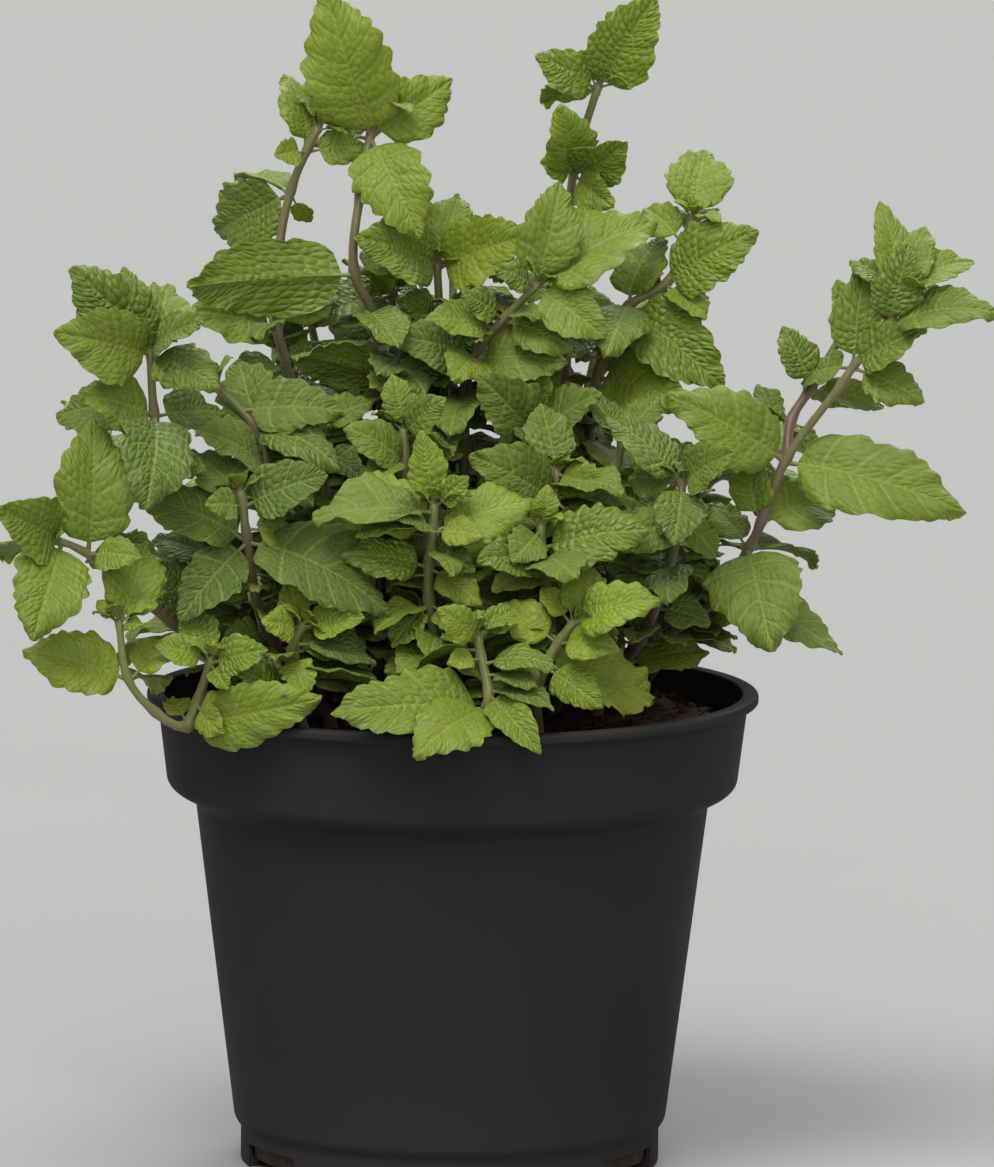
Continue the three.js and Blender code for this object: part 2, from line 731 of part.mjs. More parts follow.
// A leaf as one closed blade with its petiole. Both faces are split into the same triangles, and they meet
// at the points of the teeth. `grow` makes it larger all round, for the test of its clearance.
function leafSolid(leaf, { grow = 0, bladeOnly = false } = {}) {
  const frame = leafFrame(leaf);
  const start = Math.min(PETIOLE / frame.length, PETIOLE_SHARE);
  const along = (u) => start + (1 - start) * u;
  const teeth = teethOf(frame.length);
  const rim = [[start, PETIOLE_HALF, "point"]];
  if (bladeOnly) rim[0] = [along(BARE.start), frame.half * BARE.width, "point"];
  for (let k = 0; k < teeth; k++) {
    const tooth = (k + TOOTH.tip) / (teeth + TOOTH.room);
    const notch = (k + TOOTH.notch) / (teeth + TOOTH.room);
    rim.push([along(tooth), frame.half * outline(tooth), "point"]);
    if (k + 1 < teeth) rim.push([along(notch), frame.half * outline(notch) * TOOTH.notchWidth]);
  }

  const points = [];
  const place = [];
  const below = [];
  const put = (s, across, kind) => {
    const index = points.length;
    const lifts = kind ? [0] : [BLADE / 2 + grow, -BLADE / 2 - grow];
    points.push(...lifts.map((lift) => leafPoint(frame, s, across, lift)));
    place[index] = s;
    below[index] = points.length - 1;
    return index;
  };
  const root = put(bladeOnly ? along(BARE.root) : 0, 0);
  const tip = put(1 + grow / frame.length, 0, "point");
  const midrib = [root, ...ribOf(teeth).map((u) => put(along(u), 0)), tip];
  const margin = (sign) => [root, ...rim.map(([s, width, kind]) => put(s, sign * (width + grow), kind)), tip];
  const [left, right] = [margin(1), margin(-1)];
  // The strips join the first corner of the midrib to the end of the petiole, which so stays narrow.
  place[midrib[1]] = start;

  const faces = [];
  const add = (...three) => new Set(three).size === 3 && faces.push(three);
  for (const [a, b, c] of [...strip(left, midrib, place), ...strip(midrib, right, place)]) {
    add(a, b, c);
    add(below[a], below[c], below[b]);
  }
  const around = [...left, ...right.slice(1, -1).reverse()];
  around.forEach((a, i) => {
    const b = around[(i + 1) % around.length];
    add(a, b, below[a]);
    add(b, below[b], below[a]);
  });
  return solid(facets(points, faces));
}

// A stem goes straight down into the soil from a little above it.
const footOf = (root) => [-ROOTED, COLLAR_OF_STEM].map((rise) => vec(root.x, root.y, root.z + rise));

// How strongly a leaf is bent over its length and folded along its midrib.
const curvature = (random) => ({
  bend: BEND.least + BEND.range * random(),
  fold: FOLD.least + FOLD.range * random(),
});

// A factor about 1, which a random draw makes smaller or larger by up to this share.
const varied = (share, random) => 1 - share + 2 * share * random();

// A leaf whose tip is seen at a place. Its depth is worked out from how wide it looks for its length.
function knotLeaf(knot, under, knotDepth, [x, y, reach, turn, shown], random) {
  const base = knot.clone().addScaledVector(under.clone().sub(knot).normalize(), KNOT_STEP);
  const flat = seen(x, y, knotDepth).distanceTo(base);
  const narrowed = Math.max(SMALLEST_COSINE, Math.abs(Math.cos(THREE.MathUtils.degToRad(turn))));
  const width = (flat * shown) / narrowed;
  const hidden = Math.sqrt(Math.max(0, (width / BREADTH) ** 2 - flat ** 2));
  const depth = Math.sign(reach) * Math.max(Math.abs(reach), Math.min(hidden, flat * STEEPEST));
  const tip = seen(x, y, knotDepth + depth);
  const breadth = width / tip.distanceTo(base);
  return { base, tip, turn, breadth, face: towardsViewer, ...curvature(random) };
}

// A leaf that lies flat, at a heading in radians from straight away from the viewer.
function flatLeaf(base, length, heading, random) {
  const way = vec(Math.sin(heading), Math.cos(heading), DROOP.rise - DROOP.fall * random()).normalize();
  const tip = base.clone().addScaledVector(way, length);
  const turn = ROLL * (random() - 0.5);
  return { base, tip, turn, breadth: BREADTH, face: vec(0, 0, 1), flat: true, ...curvature(random) };
}

// The leaf that points away at a knot which has these others, if they are large.
function farLeaf(others, random) {
  const mean = others.reduce((sum, leaf) => sum + leaf.tip.distanceTo(leaf.base), 0) / others.length;
  const made = flatLeaf(others[0].base, Math.min(mean, FAR.longest), FAR.spread * (random() - 0.5), random);
  return mean > FAR.least ? [made] : [];
}

// Leaves on the bare part of a stem, each turned on from the last.
function lowLeaves(foot, knot, random) {
  const count = Math.floor(foot.distanceTo(knot) / LOW.every);
  const first = 2 * Math.PI * random();
  return Array.from({ length: count }, (_, k) => {
    const base = mix(foot, knot, (k + LOW.start) / count);
    const length = LOW.length * varied(0.2, random);
    return flatLeaf(base, length, first + LOW.turnOn * k, random);
  });
}

// Every leaf and stem of a shoot, as points in the part's frame.
function layOut(shoot, number) {
  const random = randomFrom(SEED + number * 104729);
  const root = vec(shoot.root[0], shoot.root[1], soilHeight(...shoot.root));
  const stems = [];
  const leaves = [];
  const flatLeaves = [];
  const stemOf = (knots, foot) => {
    const places = knots.map((k) => seen(...k.at));
    const path = [...foot, ...places];
    knots.forEach((knot, i) => {
      const under = path[Math.max(0, foot.length + i - 1)];
      const near = knot.leaves.map((leaf) => knotLeaf(places[i], under, knot.at[2], leaf, random));
      leaves.push(...near);
      if (near.length) flatLeaves.push(...farLeaf(near, random));
    });
    if (foot.length) flatLeaves.push(...lowLeaves(foot[1], places[0], random));
    stems.push(path);
  };
  stemOf(shoot.knots, footOf(root));
  (shoot.branches ?? []).forEach((branch) => stemOf(branch.knots, []));
  return { name: shoot.name, stems, leaves, flatLeaves, root };
}

// A shoot at the back leans out from its root, with pairs of leaves that are each a quarter turn from the last.
function grownShoot(i, shift) {
  const random = randomFrom(SEED + i * 7919);
  const { degToRad, lerp } = THREE.MathUtils;
  const angle = degToRad(lerp(BACK.fromDegrees, BACK.toDegrees, (i + 0.5) / BACK_SHOOTS) + shift);
  const inner = i % 2 === 1;
  const out = vec(Math.cos(angle), Math.sin(angle), 0);
  const root = out.clone().multiplyScalar(BACK.rootRadius * (inner ? INNER.radius : 1));
  root.z = soilHeight(root.x, root.y);
  const lean = BACK.lean * (inner ? INNER.lean : 1) * varied(0.2, random);
  const height = BACK.height * (inner ? 1 : OUTER.height) * varied(0.15, random);
  const knots = [];
  for (let k = 1; k <= BACK.pairs; k++) {
    const t = k / BACK.pairs;
    knots.push(root.clone().addScaledVector(out, lean * t ** BACK.curve).add(vec(0, 0, height * t)));
  }
  const leaves = [];
  let quarter = angle + random();
  knots.forEach((base, k) => {
    const length = lerp(BACK.lowLeaf, BACK.highLeaf, k / BACK.pairs) * varied(0.15, random);
    for (const half of [0, Math.PI]) {
      const rise = BACK.rise - BACK.fall * random();
      const way = vec(Math.cos(quarter + half), Math.sin(quarter + half), rise);
      const tip = base.clone().addScaledVector(way.normalize(), length);
      const turn = BACK.roll * (random() - 0.5);
      const breadth = BREADTH + BACK.broader * random();
      leaves.push({ base, tip, turn, breadth, face: vec(0, 0, 1), ...curvature(random) });
    }
    quarter += Math.PI / 2;
  });
  const path = [...footOf(root), ...knots];
  return { name: `back_${i + 1}`, stems: [path], leaves, flatLeaves: [], root };
}

// The ways in which a leaf may be leaned and rolled to come clear, the smallest changes first.
const LEANS = [0, 3, -3, 6, -6, 9, -9, 13, -13];
const ROLLS = [0, 18, -18, 36, -36, 60];
const SHRINKS = [1, 0.82, 0.66];
const effort = ({ lean, roll }) => Math.abs(lean) / LEANS[1] + Math.abs(roll) / ROLLS[1];
const MOVES = SHRINKS.flatMap((shrink) =>
  LEANS.flatMap((lean) => ROLLS.map((roll) => ({ shrink, lean, roll })))
    .sort((a, b) => effort(a) - effort(b)),
);

// The leaf after one of those moves. Its tip moves along the line of sight, so the front view stays.
function moved(leaf, { shrink, lean, roll }) {
  const tip = leaf.tip.clone().addScaledVector(towardsViewer, -lean);
  return { ...leaf, tip: mix(leaf.base, tip, shrink), turn: leaf.turn + roll };
}

const boxesMeet = (a, b) => [0, 1, 2].every((i) => a.min[i] < b.max[i] && b.min[i] < a.max[i]);

// True if the solid runs into any of the others.
function hits(made, others) {
  const box = made.boundingBox();
  return others.some((o) => boxesMeet(box, o.box) && made.intersect(o.made).volume() > 1e-6);
}

const withBox = (made) => ({ made, box: made.boundingBox() });

// The stems of a shoot as solids, thicker all round by `grow`.
const stemsOf = (plan, grow = 0) =>
  plan.stems.map((path, i) => {
    const foot = i ? BRANCH_FOOT : STEM_FOOT;
    return withBox(stemSolid(path, foot + grow, STEM_TOP + grow));
  });

// Builds every shoot: all the stems first, then each leaf in the first place where it is clear of
// the other shoots, the pot and the soil, and of its own shoot where that is possible.
// The flat leaves come last, and only where they are clear of their own shoot too.
function buildShoots(plans, fixed) {
  const built = plans.map((plan) => ({ ...plan, parts: stemsOf(plan), blades: [] }));
  const place = (shoot, leaf) => {
    const others = [...fixed, ...built.filter((b) => b !== shoot).flatMap((b) => b.parts)];
    const own = [...shoot.blades, ...shoot.parts.slice(0, shoot.stems.length)];
    const clear = (move, strict) => {
      const tried = moved(leaf, move);
      if (hits(leafSolid(tried, { grow: GAP }), others)) return false;
      return !strict || !hits(leafSolid(tried, { grow: GAP / 2, bladeOnly: true }), own);
    };
    const strictly = MOVES.find((move) => clear(move, true));
    const move = strictly ?? (leaf.flat ? undefined : MOVES.find((m) => clear(m, false)));
    if (!move) return;
    const placed = moved(leaf, move);
    shoot.parts.push(withBox(leafSolid(placed)));
    shoot.blades.push(withBox(leafSolid(placed, { bladeOnly: true })));
  };
  for (const shoot of built) shoot.leaves.forEach((leaf) => place(shoot, leaf));
  for (const shoot of built) shoot.flatLeaves.forEach((leaf) => place(shoot, leaf));
  return built;
}

// The back shoots are turned about the pot's axis until their stems are clear of all the others.
const SHIFTS = [0, 3, -3, 6, -6, 9, -9, 12, -12, 16, -16, 20, -20];
const plans = SHOOTS.map(layOut);
for (let i = 0; i < BACK_SHOOTS; i++) {
  const taken = plans.flatMap((plan) => stemsOf(plan));
  const clear = (plan) => !hits(stemsOf(plan, GAP)[0].made, taken);
  plans.push(SHIFTS.map((shift) => grownShoot(i, shift)).find(clear));
}

const pot = potSolid();
const holes = plans.map((plan) => {
  const [foot, top] = plan.stems[0];
  return stemSolid([foot.clone().setZ(foot.z - GAP), top], STEM_FOOT + 2 * GAP, STEM_FOOT + 2 * GAP);
});
const soil = soilSolid(holes);
const shoots = buildShoots(plans, [withBox(pot), withBox(soil)]);

const plastic = new THREE.MeshStandardMaterial({ color: 0x242424, roughness: 0.45, metalness: 0 });
const compost = new THREE.MeshStandardMaterial({ color: 0x2a1a14, roughness: 1, metalness: 0 });
const leafGreen = new THREE.MeshStandardMaterial({ color: 0x6f9a3c, roughness: 0.5, metalness: 0 });

const plant = new THREE.Group();
plant.add(meshOf("pot", pot, plastic), meshOf("soil", soil, compost));
for (const shoot of shoots) {
  const [first, ...rest] = shoot.parts.map((p) => p.made);
  plant.add(meshOf(shoot.name, rest.reduce((sum, part) => sum.add(part), first), leafGreen));
}

export default plant;
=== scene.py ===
# %% [markdown]
# # A mint plant in a black plastic pot
#
# The plant has three kinds of piece: a moulded pot, the dark compost in it, and leafy shoots that stand in
# the compost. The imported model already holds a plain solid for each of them. This script gives every one of
# them a finer surface of the same form, and then lights the plant as in a studio.
#
# All lengths are in millimetres while a shape is worked out, and become metres when a mesh is made.

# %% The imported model
import math

import bpy
import numpy as np
from mathutils import Matrix


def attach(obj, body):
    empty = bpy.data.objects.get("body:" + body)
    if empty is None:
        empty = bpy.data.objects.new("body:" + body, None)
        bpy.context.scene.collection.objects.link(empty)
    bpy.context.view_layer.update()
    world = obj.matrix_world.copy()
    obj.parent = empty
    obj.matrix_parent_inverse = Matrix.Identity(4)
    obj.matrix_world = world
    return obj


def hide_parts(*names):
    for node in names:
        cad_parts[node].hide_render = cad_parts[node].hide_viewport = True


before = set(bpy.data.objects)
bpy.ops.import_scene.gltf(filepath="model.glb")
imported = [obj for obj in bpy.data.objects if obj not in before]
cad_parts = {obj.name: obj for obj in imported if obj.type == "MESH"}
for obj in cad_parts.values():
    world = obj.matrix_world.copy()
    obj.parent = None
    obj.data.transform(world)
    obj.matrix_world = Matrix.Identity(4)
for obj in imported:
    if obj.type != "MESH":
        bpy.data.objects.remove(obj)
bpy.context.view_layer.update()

MM = 0.001
FULL_TURN = 2 * math.pi
UPWARDS = np.array([0, 0, 1.0])
print("nodes of the packed model:", len(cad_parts))

# %% [markdown]
# ## From arrays to meshes
#
# Nearly everything on a plant is a profile that is carried along a path: a leaf is a flat ring that grows and
# shrinks from stem to tip, a stem is a small rounded square on a long path, and the pot is one outline
# carried round a circle. So one helper is enough for most pieces. It takes a grid of points, with one closed
# ring in each row, joins the rings by four-sided faces, and closes both ends at a point. Whole arrays are
# handed to Blender at once, which is far quicker than adding vertices one at a time.

# %% Skins, and the piece made from them
def unit(vectors):
    """Each vector divided by its own length."""
    return vectors / np.linalg.norm(vectors, axis=-1, keepdims=True)


def skin(rings, first, last, **fields):
    """A closed surface from rings of points, an array of rows x points x 3, and one point at each end.

    Point j of ring i is joined to point j + 1 of the same ring and to the same two of ring i + 1. The end
    points are joined to their rings by fans. A field gives one number, or a row of numbers, to every point.
    """
    rows, around = rings.shape[:2]
    points = np.concatenate([[first], rings.reshape(-1, 3), [last]])
    here = 1 + np.arange(rows * around).reshape(rows, around)
    beside = np.roll(here, -1, axis=1)
    quads = np.stack([here[:-1], beside[:-1], beside[1:], here[1:]], axis=-1).reshape(-1, 4)
    start_fan = np.stack([np.zeros(around, int), beside[0], here[0]], axis=-1)
    end_fan = np.stack([np.full(around, len(points) - 1), here[-1], beside[-1]], axis=-1)
    triangles = np.concatenate([start_fan, end_fan])
    if volume_of(points, quads, triangles) < 0:
        quads, triangles = quads[:, ::-1], triangles[:, ::-1]
    return {"points": points, "quads": quads, "triangles": triangles, "fields": fields}


def volume_of(points, quads, triangles):
    """Sum over triangles of a . (b x c) / 6, which is positive where the faces point outwards."""
    corners = np.concatenate([quads[:, [0, 1, 2]], quads[:, [0, 2, 3]], triangles])
    a, b, c = (points[corners[:, k]] for k in range(3))
    return np.einsum("ij,ij->i", a, np.cross(b, c)).sum() / 6


def placed(name, data):
    """A new object in the scene, for a mesh, a light or a camera."""
    thing = bpy.data.objects.new(name, data)
    bpy.context.scene.collection.objects.link(thing)
    return thing


def make_piece(name, skins, material, nodes=(), crease=50):
    """One object from several skins. Edges sharper than `crease` degrees stay sharp, the rest is smooth."""
    offsets = np.cumsum([0] + [len(s["points"]) for s in skins])
    points = np.concatenate([s["points"] for s in skins]) * MM
    quads = np.concatenate([s["quads"] + o for s, o in zip(skins, offsets)])
    triangles = np.concatenate([s["triangles"] + o for s, o in zip(skins, offsets)])

    mesh = bpy.data.meshes.new(name)
    mesh.vertices.add(len(points))
    mesh.vertices.foreach_set("co", points.ravel())
    corners = np.concatenate([quads.ravel(), triangles.ravel()]).astype(np.int32)
    mesh.loops.add(len(corners))
    mesh.loops.foreach_set("vertex_index", corners)
    starts = np.concatenate([4 * np.arange(len(quads)), 4 * len(quads) + 3 * np.arange(len(triangles))])
    mesh.polygons.add(len(starts))
    mesh.polygons.foreach_set("loop_start", starts.astype(np.int32))
    mesh.update(calc_edges=True)
    mesh.polygons.foreach_set("use_smooth", np.ones(len(starts), bool))
    mesh.set_sharp_from_angle(angle=math.radians(crease))

    for field in skins[0]["fields"]:
        values = np.concatenate([s["fields"][field] for s in skins]).astype(np.float32)
        if field == "uv":
            layer = mesh.uv_layers.new(name="UVMap")
            layer.data.foreach_set("uv", values[corners].ravel())
        else:
            mesh.attributes.new(field, "FLOAT", "POINT").data.foreach_set("value", values)

    piece = placed(name, mesh)
    mesh.materials.append(material)
    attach(piece, "root")
    if nodes:
        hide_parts(*nodes)
    return piece


# %% [markdown]
# ## Wiring a material
#
# A procedural material is a small network: patterns such as noise feed a colour, a roughness and a bump. The
# helper `wire` adds one node of the network, sets its options, and either sets each input or links it. The
# others name the steps that come again and again, so that a material reads as a list of steps.

# %% The material helpers
def new_material(name):
    """An empty material, its network and its Principled shader."""
    material = bpy.data.materials.new(name)
    material.use_nodes = True
    tree = material.node_tree
    return material, tree, tree.nodes["Principled BSDF"]


def wire(tree, kind, inputs=None, **options):
    """Adds a node of this kind. An input that is another node's output is linked, any other is set."""
    node = tree.nodes.new("ShaderNode" + kind)
    for option, value in options.items():
        setattr(node, option, value)
    connect(tree, node, inputs or {})
    return node


def connect(tree, node, inputs):
    """Sets or links the inputs of a node, which are given by name or by number."""
    for socket, value in inputs.items():
        if isinstance(value, bpy.types.NodeSocket):
            tree.links.new(value, node.inputs[socket])
        else:
            node.inputs[socket].default_value = value


def field(tree, name):
    """The number that a piece's mesh carries under this name."""
    return wire(tree, "Attribute", attribute_name=name).outputs["Fac"]


def maths(tree, operation, *values, clamp=False):
    """One step of arithmetic."""
    inputs = dict(enumerate(values))
    return wire(tree, "Math", inputs, operation=operation, use_clamp=clamp).outputs[0]


def ramp(tree, value, low, high, to_low=0.0, to_high=1.0):
    """Takes low..high to to_low..to_high by a smooth step, and stays at either end beyond them."""
    inputs = {"Value": value, "From Min": low, "From Max": high, "To Min": to_low, "To Max": to_high}
    return wire(tree, "MapRange", inputs, interpolation_type="SMOOTHSTEP").outputs[0]


def blend(tree, amount, first, second, mode="MIX"):
    """Mixes two colours, or in the mode MULTIPLY tints the first by the second, as far as the amount says."""
    node = wire(tree, "Mix", data_type="RGBA", blend_type=mode)
    connect(tree, node, {0: amount, 6: first, 7: second})
    return node.outputs[2]


def own_place(tree):
    """The piece's own coordinates, in metres."""
    return wire(tree, "TexCoord").outputs["Object"]


def noise(tree, scale, detail=3.0, vector=None):
    """Soft random values about 0.5, on the piece's own coordinates unless others are given."""
    vector = vector or own_place(tree)
    return wire(tree, "TexNoise", {"Vector": vector, "Scale": scale, "Detail": detail}).outputs["Fac"]


def bump(tree, height, distance, strength=1.0):
    """A relief that shading shows but the mesh doesn't have. Distance is in metres."""
    inputs = {"Height": height, "Distance": distance, "Strength": strength}
    return wire(tree, "Bump", inputs).outputs["Normal"]


# %% [markdown]
# ## The pot
#
# A nursery pot is blown or moulded from thin black plastic. It tapers, has a step where the next pot in a
# stack would rest, a deeper collar, a rolled lip, and slots round the foot for water to drain. It is a body
# of revolution, so its outline is drawn once as corners with a rounding each, and carried round the axis.
# The slots are then cut with a Boolean, which is applied so that nothing live is left on the piece.

# %% The pot's sizes
RIM_RADIUS = 65
POT_HEIGHT = 101
WALL = 1.2
FLOOR = 1.6
LIP_DEPTH = 2.6
COLLAR_RADIUS = 62.7
COLLAR_FOOT_RADIUS = 60.6
COLLAR_FOOT_HEIGHT = 81.6
BODY_TOP_RADIUS = 54.6
BODY_TOP_HEIGHT = 77.8
BODY_FOOT_RADIUS = 46
BODY_FOOT_HEIGHT = 9.5
FOOT_RADIUS = 44.6
FOOT_HEIGHT = 7.4

# The drain slots, how far their cutter stands out of the foot, and small steps of the outline.
DRAINS = 6
DRAIN_WIDTH = 20
DRAIN_HEIGHT = 5.2
DRAIN_INNER = 35
DRAIN_MARGIN, DRAIN_UNDER = 4, 1
LEDGE_INSET, LEDGE_DROP = 1.4, 1.6
LIP_BEVEL = 0.6
INNER_LEDGE_HEIGHT = COLLAR_FOOT_HEIGHT + 0.8
UNDERSIDE_RING, FLOOR_RING = 3, 4
POT_SIDES = 192

# Corners of the outline as radius, height and rounding: up the outside, over the lip and down the inside.
POT_OUTLINE = [
    (FOOT_RADIUS - UNDERSIDE_RING, 0, 0),
    (FOOT_RADIUS, 0, 0.6),
    (FOOT_RADIUS, FOOT_HEIGHT, 0.8),
    (BODY_FOOT_RADIUS, BODY_FOOT_HEIGHT, 0.8),
    (BODY_TOP_RADIUS, BODY_TOP_HEIGHT, 1.6),
    (COLLAR_FOOT_RADIUS - LEDGE_INSET, COLLAR_FOOT_HEIGHT - LEDGE_DROP, 1.2),
    (COLLAR_FOOT_RADIUS, COLLAR_FOOT_HEIGHT, 1.0),
    (COLLAR_RADIUS, POT_HEIGHT - LIP_DEPTH, 0.4),
    (RIM_RADIUS, POT_HEIGHT - LIP_DEPTH + LIP_BEVEL, 0.5),
    (RIM_RADIUS, POT_HEIGHT, 0.9),
    (COLLAR_RADIUS - WALL, POT_HEIGHT, 0.6),
    (COLLAR_FOOT_RADIUS - WALL, INNER_LEDGE_HEIGHT, 1.0),
    (BODY_TOP_RADIUS - WALL, BODY_TOP_HEIGHT + WALL, 1.0),
    (FOOT_RADIUS - WALL, FLOOR, 1.2),
    (FOOT_RADIUS - WALL - FLOOR_RING, FLOOR, 0),
]


# %% The pot's material
PLASTIC_BLACK = (0.026, 0.026, 0.0265, 1)
PLASTIC_DUST = (0.042, 0.039, 0.035, 1)
DUST_HEIGHT = 0.03


def plastic_material():
    """Near-black matt plastic: faint mould grain, a little dust towards the foot and uneven gloss."""
    material, tree, shader = new_material("pot_plastic")
    grain = noise(tree, 2600, 2)
    cloud = noise(tree, 26, 4)
    height = wire(tree, "SeparateXYZ", {"Vector": own_place(tree)}).outputs["Z"]
    dusty = maths(tree, "MULTIPLY", ramp(tree, height, DUST_HEIGHT, 0.0, 0.0, 0.5), cloud)
    colour = blend(tree, dusty, PLASTIC_BLACK, PLASTIC_DUST)
    connect(tree, shader, {
        "Base Color": colour,
        "Roughness": ramp(tree, cloud, 0.3, 0.7, 0.58, 0.68),
        "Specular IOR Level": 0.05,
        "Normal": bump(tree, grain, 0.00004, 0.6),
    })
    return material


# %% Rounding an outline and turning it
def rounded(corners, steps=5):
    """Points of an outline whose corners are rounded, all but the first and the last.

    Each corner C with rounding f is replaced by the curve (1-t)^2 A + 2t(1-t) C + t^2 B, where A and B
    lie on its two edges at the distance f from it.
    """
    sharp = np.array([corner[:2] for corner in corners], float)
    rounding = np.array([corner[2] for corner in corners])[1:-1, None]
    middle = sharp[1:-1]
    before = middle + unit(sharp[:-2] - middle) * rounding
    after = middle + unit(sharp[2:] - middle) * rounding
    t = np.linspace(0, 1, steps)[:, None, None]
    curve = (1 - t) ** 2 * before + 2 * t * (1 - t) * middle + t**2 * after
    return np.vstack([sharp[:1], curve.transpose(1, 0, 2).reshape(-1, 2), sharp[-1:]])


def turned(outline, sides):
    """Rings for a body of revolution: x = r cos a, y = r sin a, for each point (r, z) of the outline."""
    angle = np.linspace(0, FULL_TURN, sides, endpoint=False)
    radius, height = outline[:, :1], outline[:, 1:]
    return np.stack([radius * np.cos(angle), radius * np.sin(angle), height + 0 * angle], axis=-1)


# %% The pot and its drain slots
def box_skin(lowest, highest, turn):
    """A box from corner to corner, turned about the Z axis, with its ends closed at a point."""
    (x0, y0, z0), (x1, y1, z1) = lowest, highest
    ring = np.array([(x0, y0), (x1, y0), (x1, y1), (x0, y1)], float)
    rings = np.stack([np.column_stack([ring, np.full(4, z)]) for z in (z0, z1)])
    c, s = math.cos(turn), math.sin(turn)
    spin = np.array([(c, s, 0), (-s, c, 0), (0, 0, 1)])
    middle = np.array([(x0 + x1) / 2, (y0 + y1) / 2])
    ends = [np.array([*middle, z]) @ spin for z in (z0, z1)]
    return skin(rings @ spin, *ends)


def cut(piece, tool, crease):
    """Takes the tool away from the piece, applies the result and deletes the tool."""
    carving = piece.modifiers.new("drain slots", "BOOLEAN")
    carving.operation = "DIFFERENCE"
    carving.solver = "EXACT"
    carving.object = tool
    graph = bpy.context.evaluated_depsgraph_get()
    carved = bpy.data.meshes.new_from_object(piece.evaluated_get(graph))
    piece.modifiers.clear()
    piece.data = carved
    carved.set_sharp_from_angle(angle=math.radians(crease))
    bpy.data.objects.remove(tool)


pot_skin = skin(turned(rounded(POT_OUTLINE), POT_SIDES), (0, 0, 0), (0, 0, FLOOR))
pot = make_piece("nursery_pot", [pot_skin], plastic_material(), ["pot"], crease=60)

slot_low = (-DRAIN_WIDTH / 2, -FOOT_RADIUS - DRAIN_MARGIN, -DRAIN_UNDER)
slot_high = (DRAIN_WIDTH / 2, -DRAIN_INNER, DRAIN_HEIGHT)
slots = [box_skin(slot_low, slot_high, k * FULL_TURN / DRAINS) for k in range(DRAINS)]
cutter = make_piece("drain_cutter", slots, pot.data.materials[0])
cut(pot, cutter, crease=40)
print("pot:", len(pot.data.polygons), "faces")

# %% [markdown]
# ## The compost
#
# Damp peat compost is nearly black, with rusty fibres. Its surface is lumpy at every scale: low swells,
# crumbs of a few millimetres, and fibres that lie on top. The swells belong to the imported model, so the same
# formula is used here. The crumbs and fibres are small closed shapes, thrown by a seeded generator.

# %% The shape of the surface
GAP = 0.35
SOIL_LEVEL = 95.2
LATTICE = 64
LUMP_SIZES = [5, 2.4, 1.1]
LUMP_HEIGHTS = [0.55, 0.4, 0.22]


def soil_height(x, y):
    """Level + 0.9 sin(x/7 + 1) cos(y/8) + 0.6 sin((x + y)/4) - 1.5 (distance from the axis / collar)^6."""
    out = np.hypot(x, y) / COLLAR_RADIUS
    swell = 0.9 * np.sin(x / 7 + 1) * np.cos(y / 8) + 0.6 * np.sin((x + y) / 4)
    return SOIL_LEVEL + swell - 1.5 * out**6


def collar_inside(z):
    """The inner radius of the collar at a height, on a straight line between its foot and its rim."""
    share = (z - INNER_LEDGE_HEIGHT) / (POT_HEIGHT - INNER_LEDGE_HEIGHT)
    return COLLAR_FOOT_RADIUS + share * (COLLAR_RADIUS - COLLAR_FOOT_RADIUS) - WALL


def lumps(x, y, size, seed):
    """Smooth random values from -1 to 1: a grid of random numbers, blended between its corners."""
    lattice = np.random.default_rng(seed).uniform(-1, 1, (LATTICE, LATTICE))
    column, row = np.floor(x / size).astype(int), np.floor(y / size).astype(int)
    fx, fy = x / size - column, y / size - row
    fx, fy = fx * fx * (3 - 2 * fx), fy * fy * (3 - 2 * fy)
    corner = [[lattice[(column + i) % LATTICE, (row + j) % LATTICE] for j in (0, 1)] for i in (0, 1)]
    low = corner[0][0] * (1 - fx) + corner[1][0] * fx
    high = corner[0][1] * (1 - fx) + corner[1][1] * fx
    return low * (1 - fy) + high * fy


def rough_height(x, y):
    """The swells with lumps of three sizes on them, the smallest lumps being the lowest."""
    height = soil_height(x, y)
    for seed, (size, rise) in enumerate(zip(LUMP_SIZES, LUMP_HEIGHTS), 1):
        height = height + rise * lumps(x, y, size, seed)
    return height


# %% The compost's materials
PEAT_DARK, PEAT_BROWN = (0.014, 0.006, 0.004, 1), (0.042, 0.0165, 0.010, 1)
PEAT_RUST = (0.11, 0.04, 0.02, 1)
FIBRE_DARK, FIBRE_RUST = (0.045, 0.017, 0.01, 1), (0.18, 0.07, 0.035, 1)


def compost_material():
    """Dark damp peat: two browns in patches and rusty crumbs, matt, with a coarse and a fine relief."""
    material, tree, shader = new_material("compost")
    patches = noise(tree, 190, 5)
    crumbs = noise(tree, 900, 4)
    dark_mix = blend(tree, ramp(tree, patches, 0.35, 0.65), PEAT_DARK, PEAT_BROWN)
    rusty = blend(tree, ramp(tree, crumbs, 0.58, 0.75, 0.0, 0.7), dark_mix, PEAT_RUST)
    relief = maths(tree, "ADD", patches, crumbs)
    connect(tree, shader, {
        "Base Color": rusty,
        "Roughness": ramp(tree, crumbs, 0.3, 0.7, 0.72, 0.95),
        "Normal": bump(tree, relief, 0.0006, 0.9),
    })
    return material


def fibre_material():
    """Rusty brown coir, lighter on some fibres than on others."""
    material, tree, shader = new_material("coir_fibre")
    tone = noise(tree, 60, 2)
    connect(tree, shader, {
        "Base Color": blend(tree, ramp(tree, tone, 0.35, 0.65), FIBRE_DARK, FIBRE_RUST),
        "Roughness": 0.8,
        "Normal": bump(tree, noise(tree, 2400, 2), 0.0001),
    })
    return material


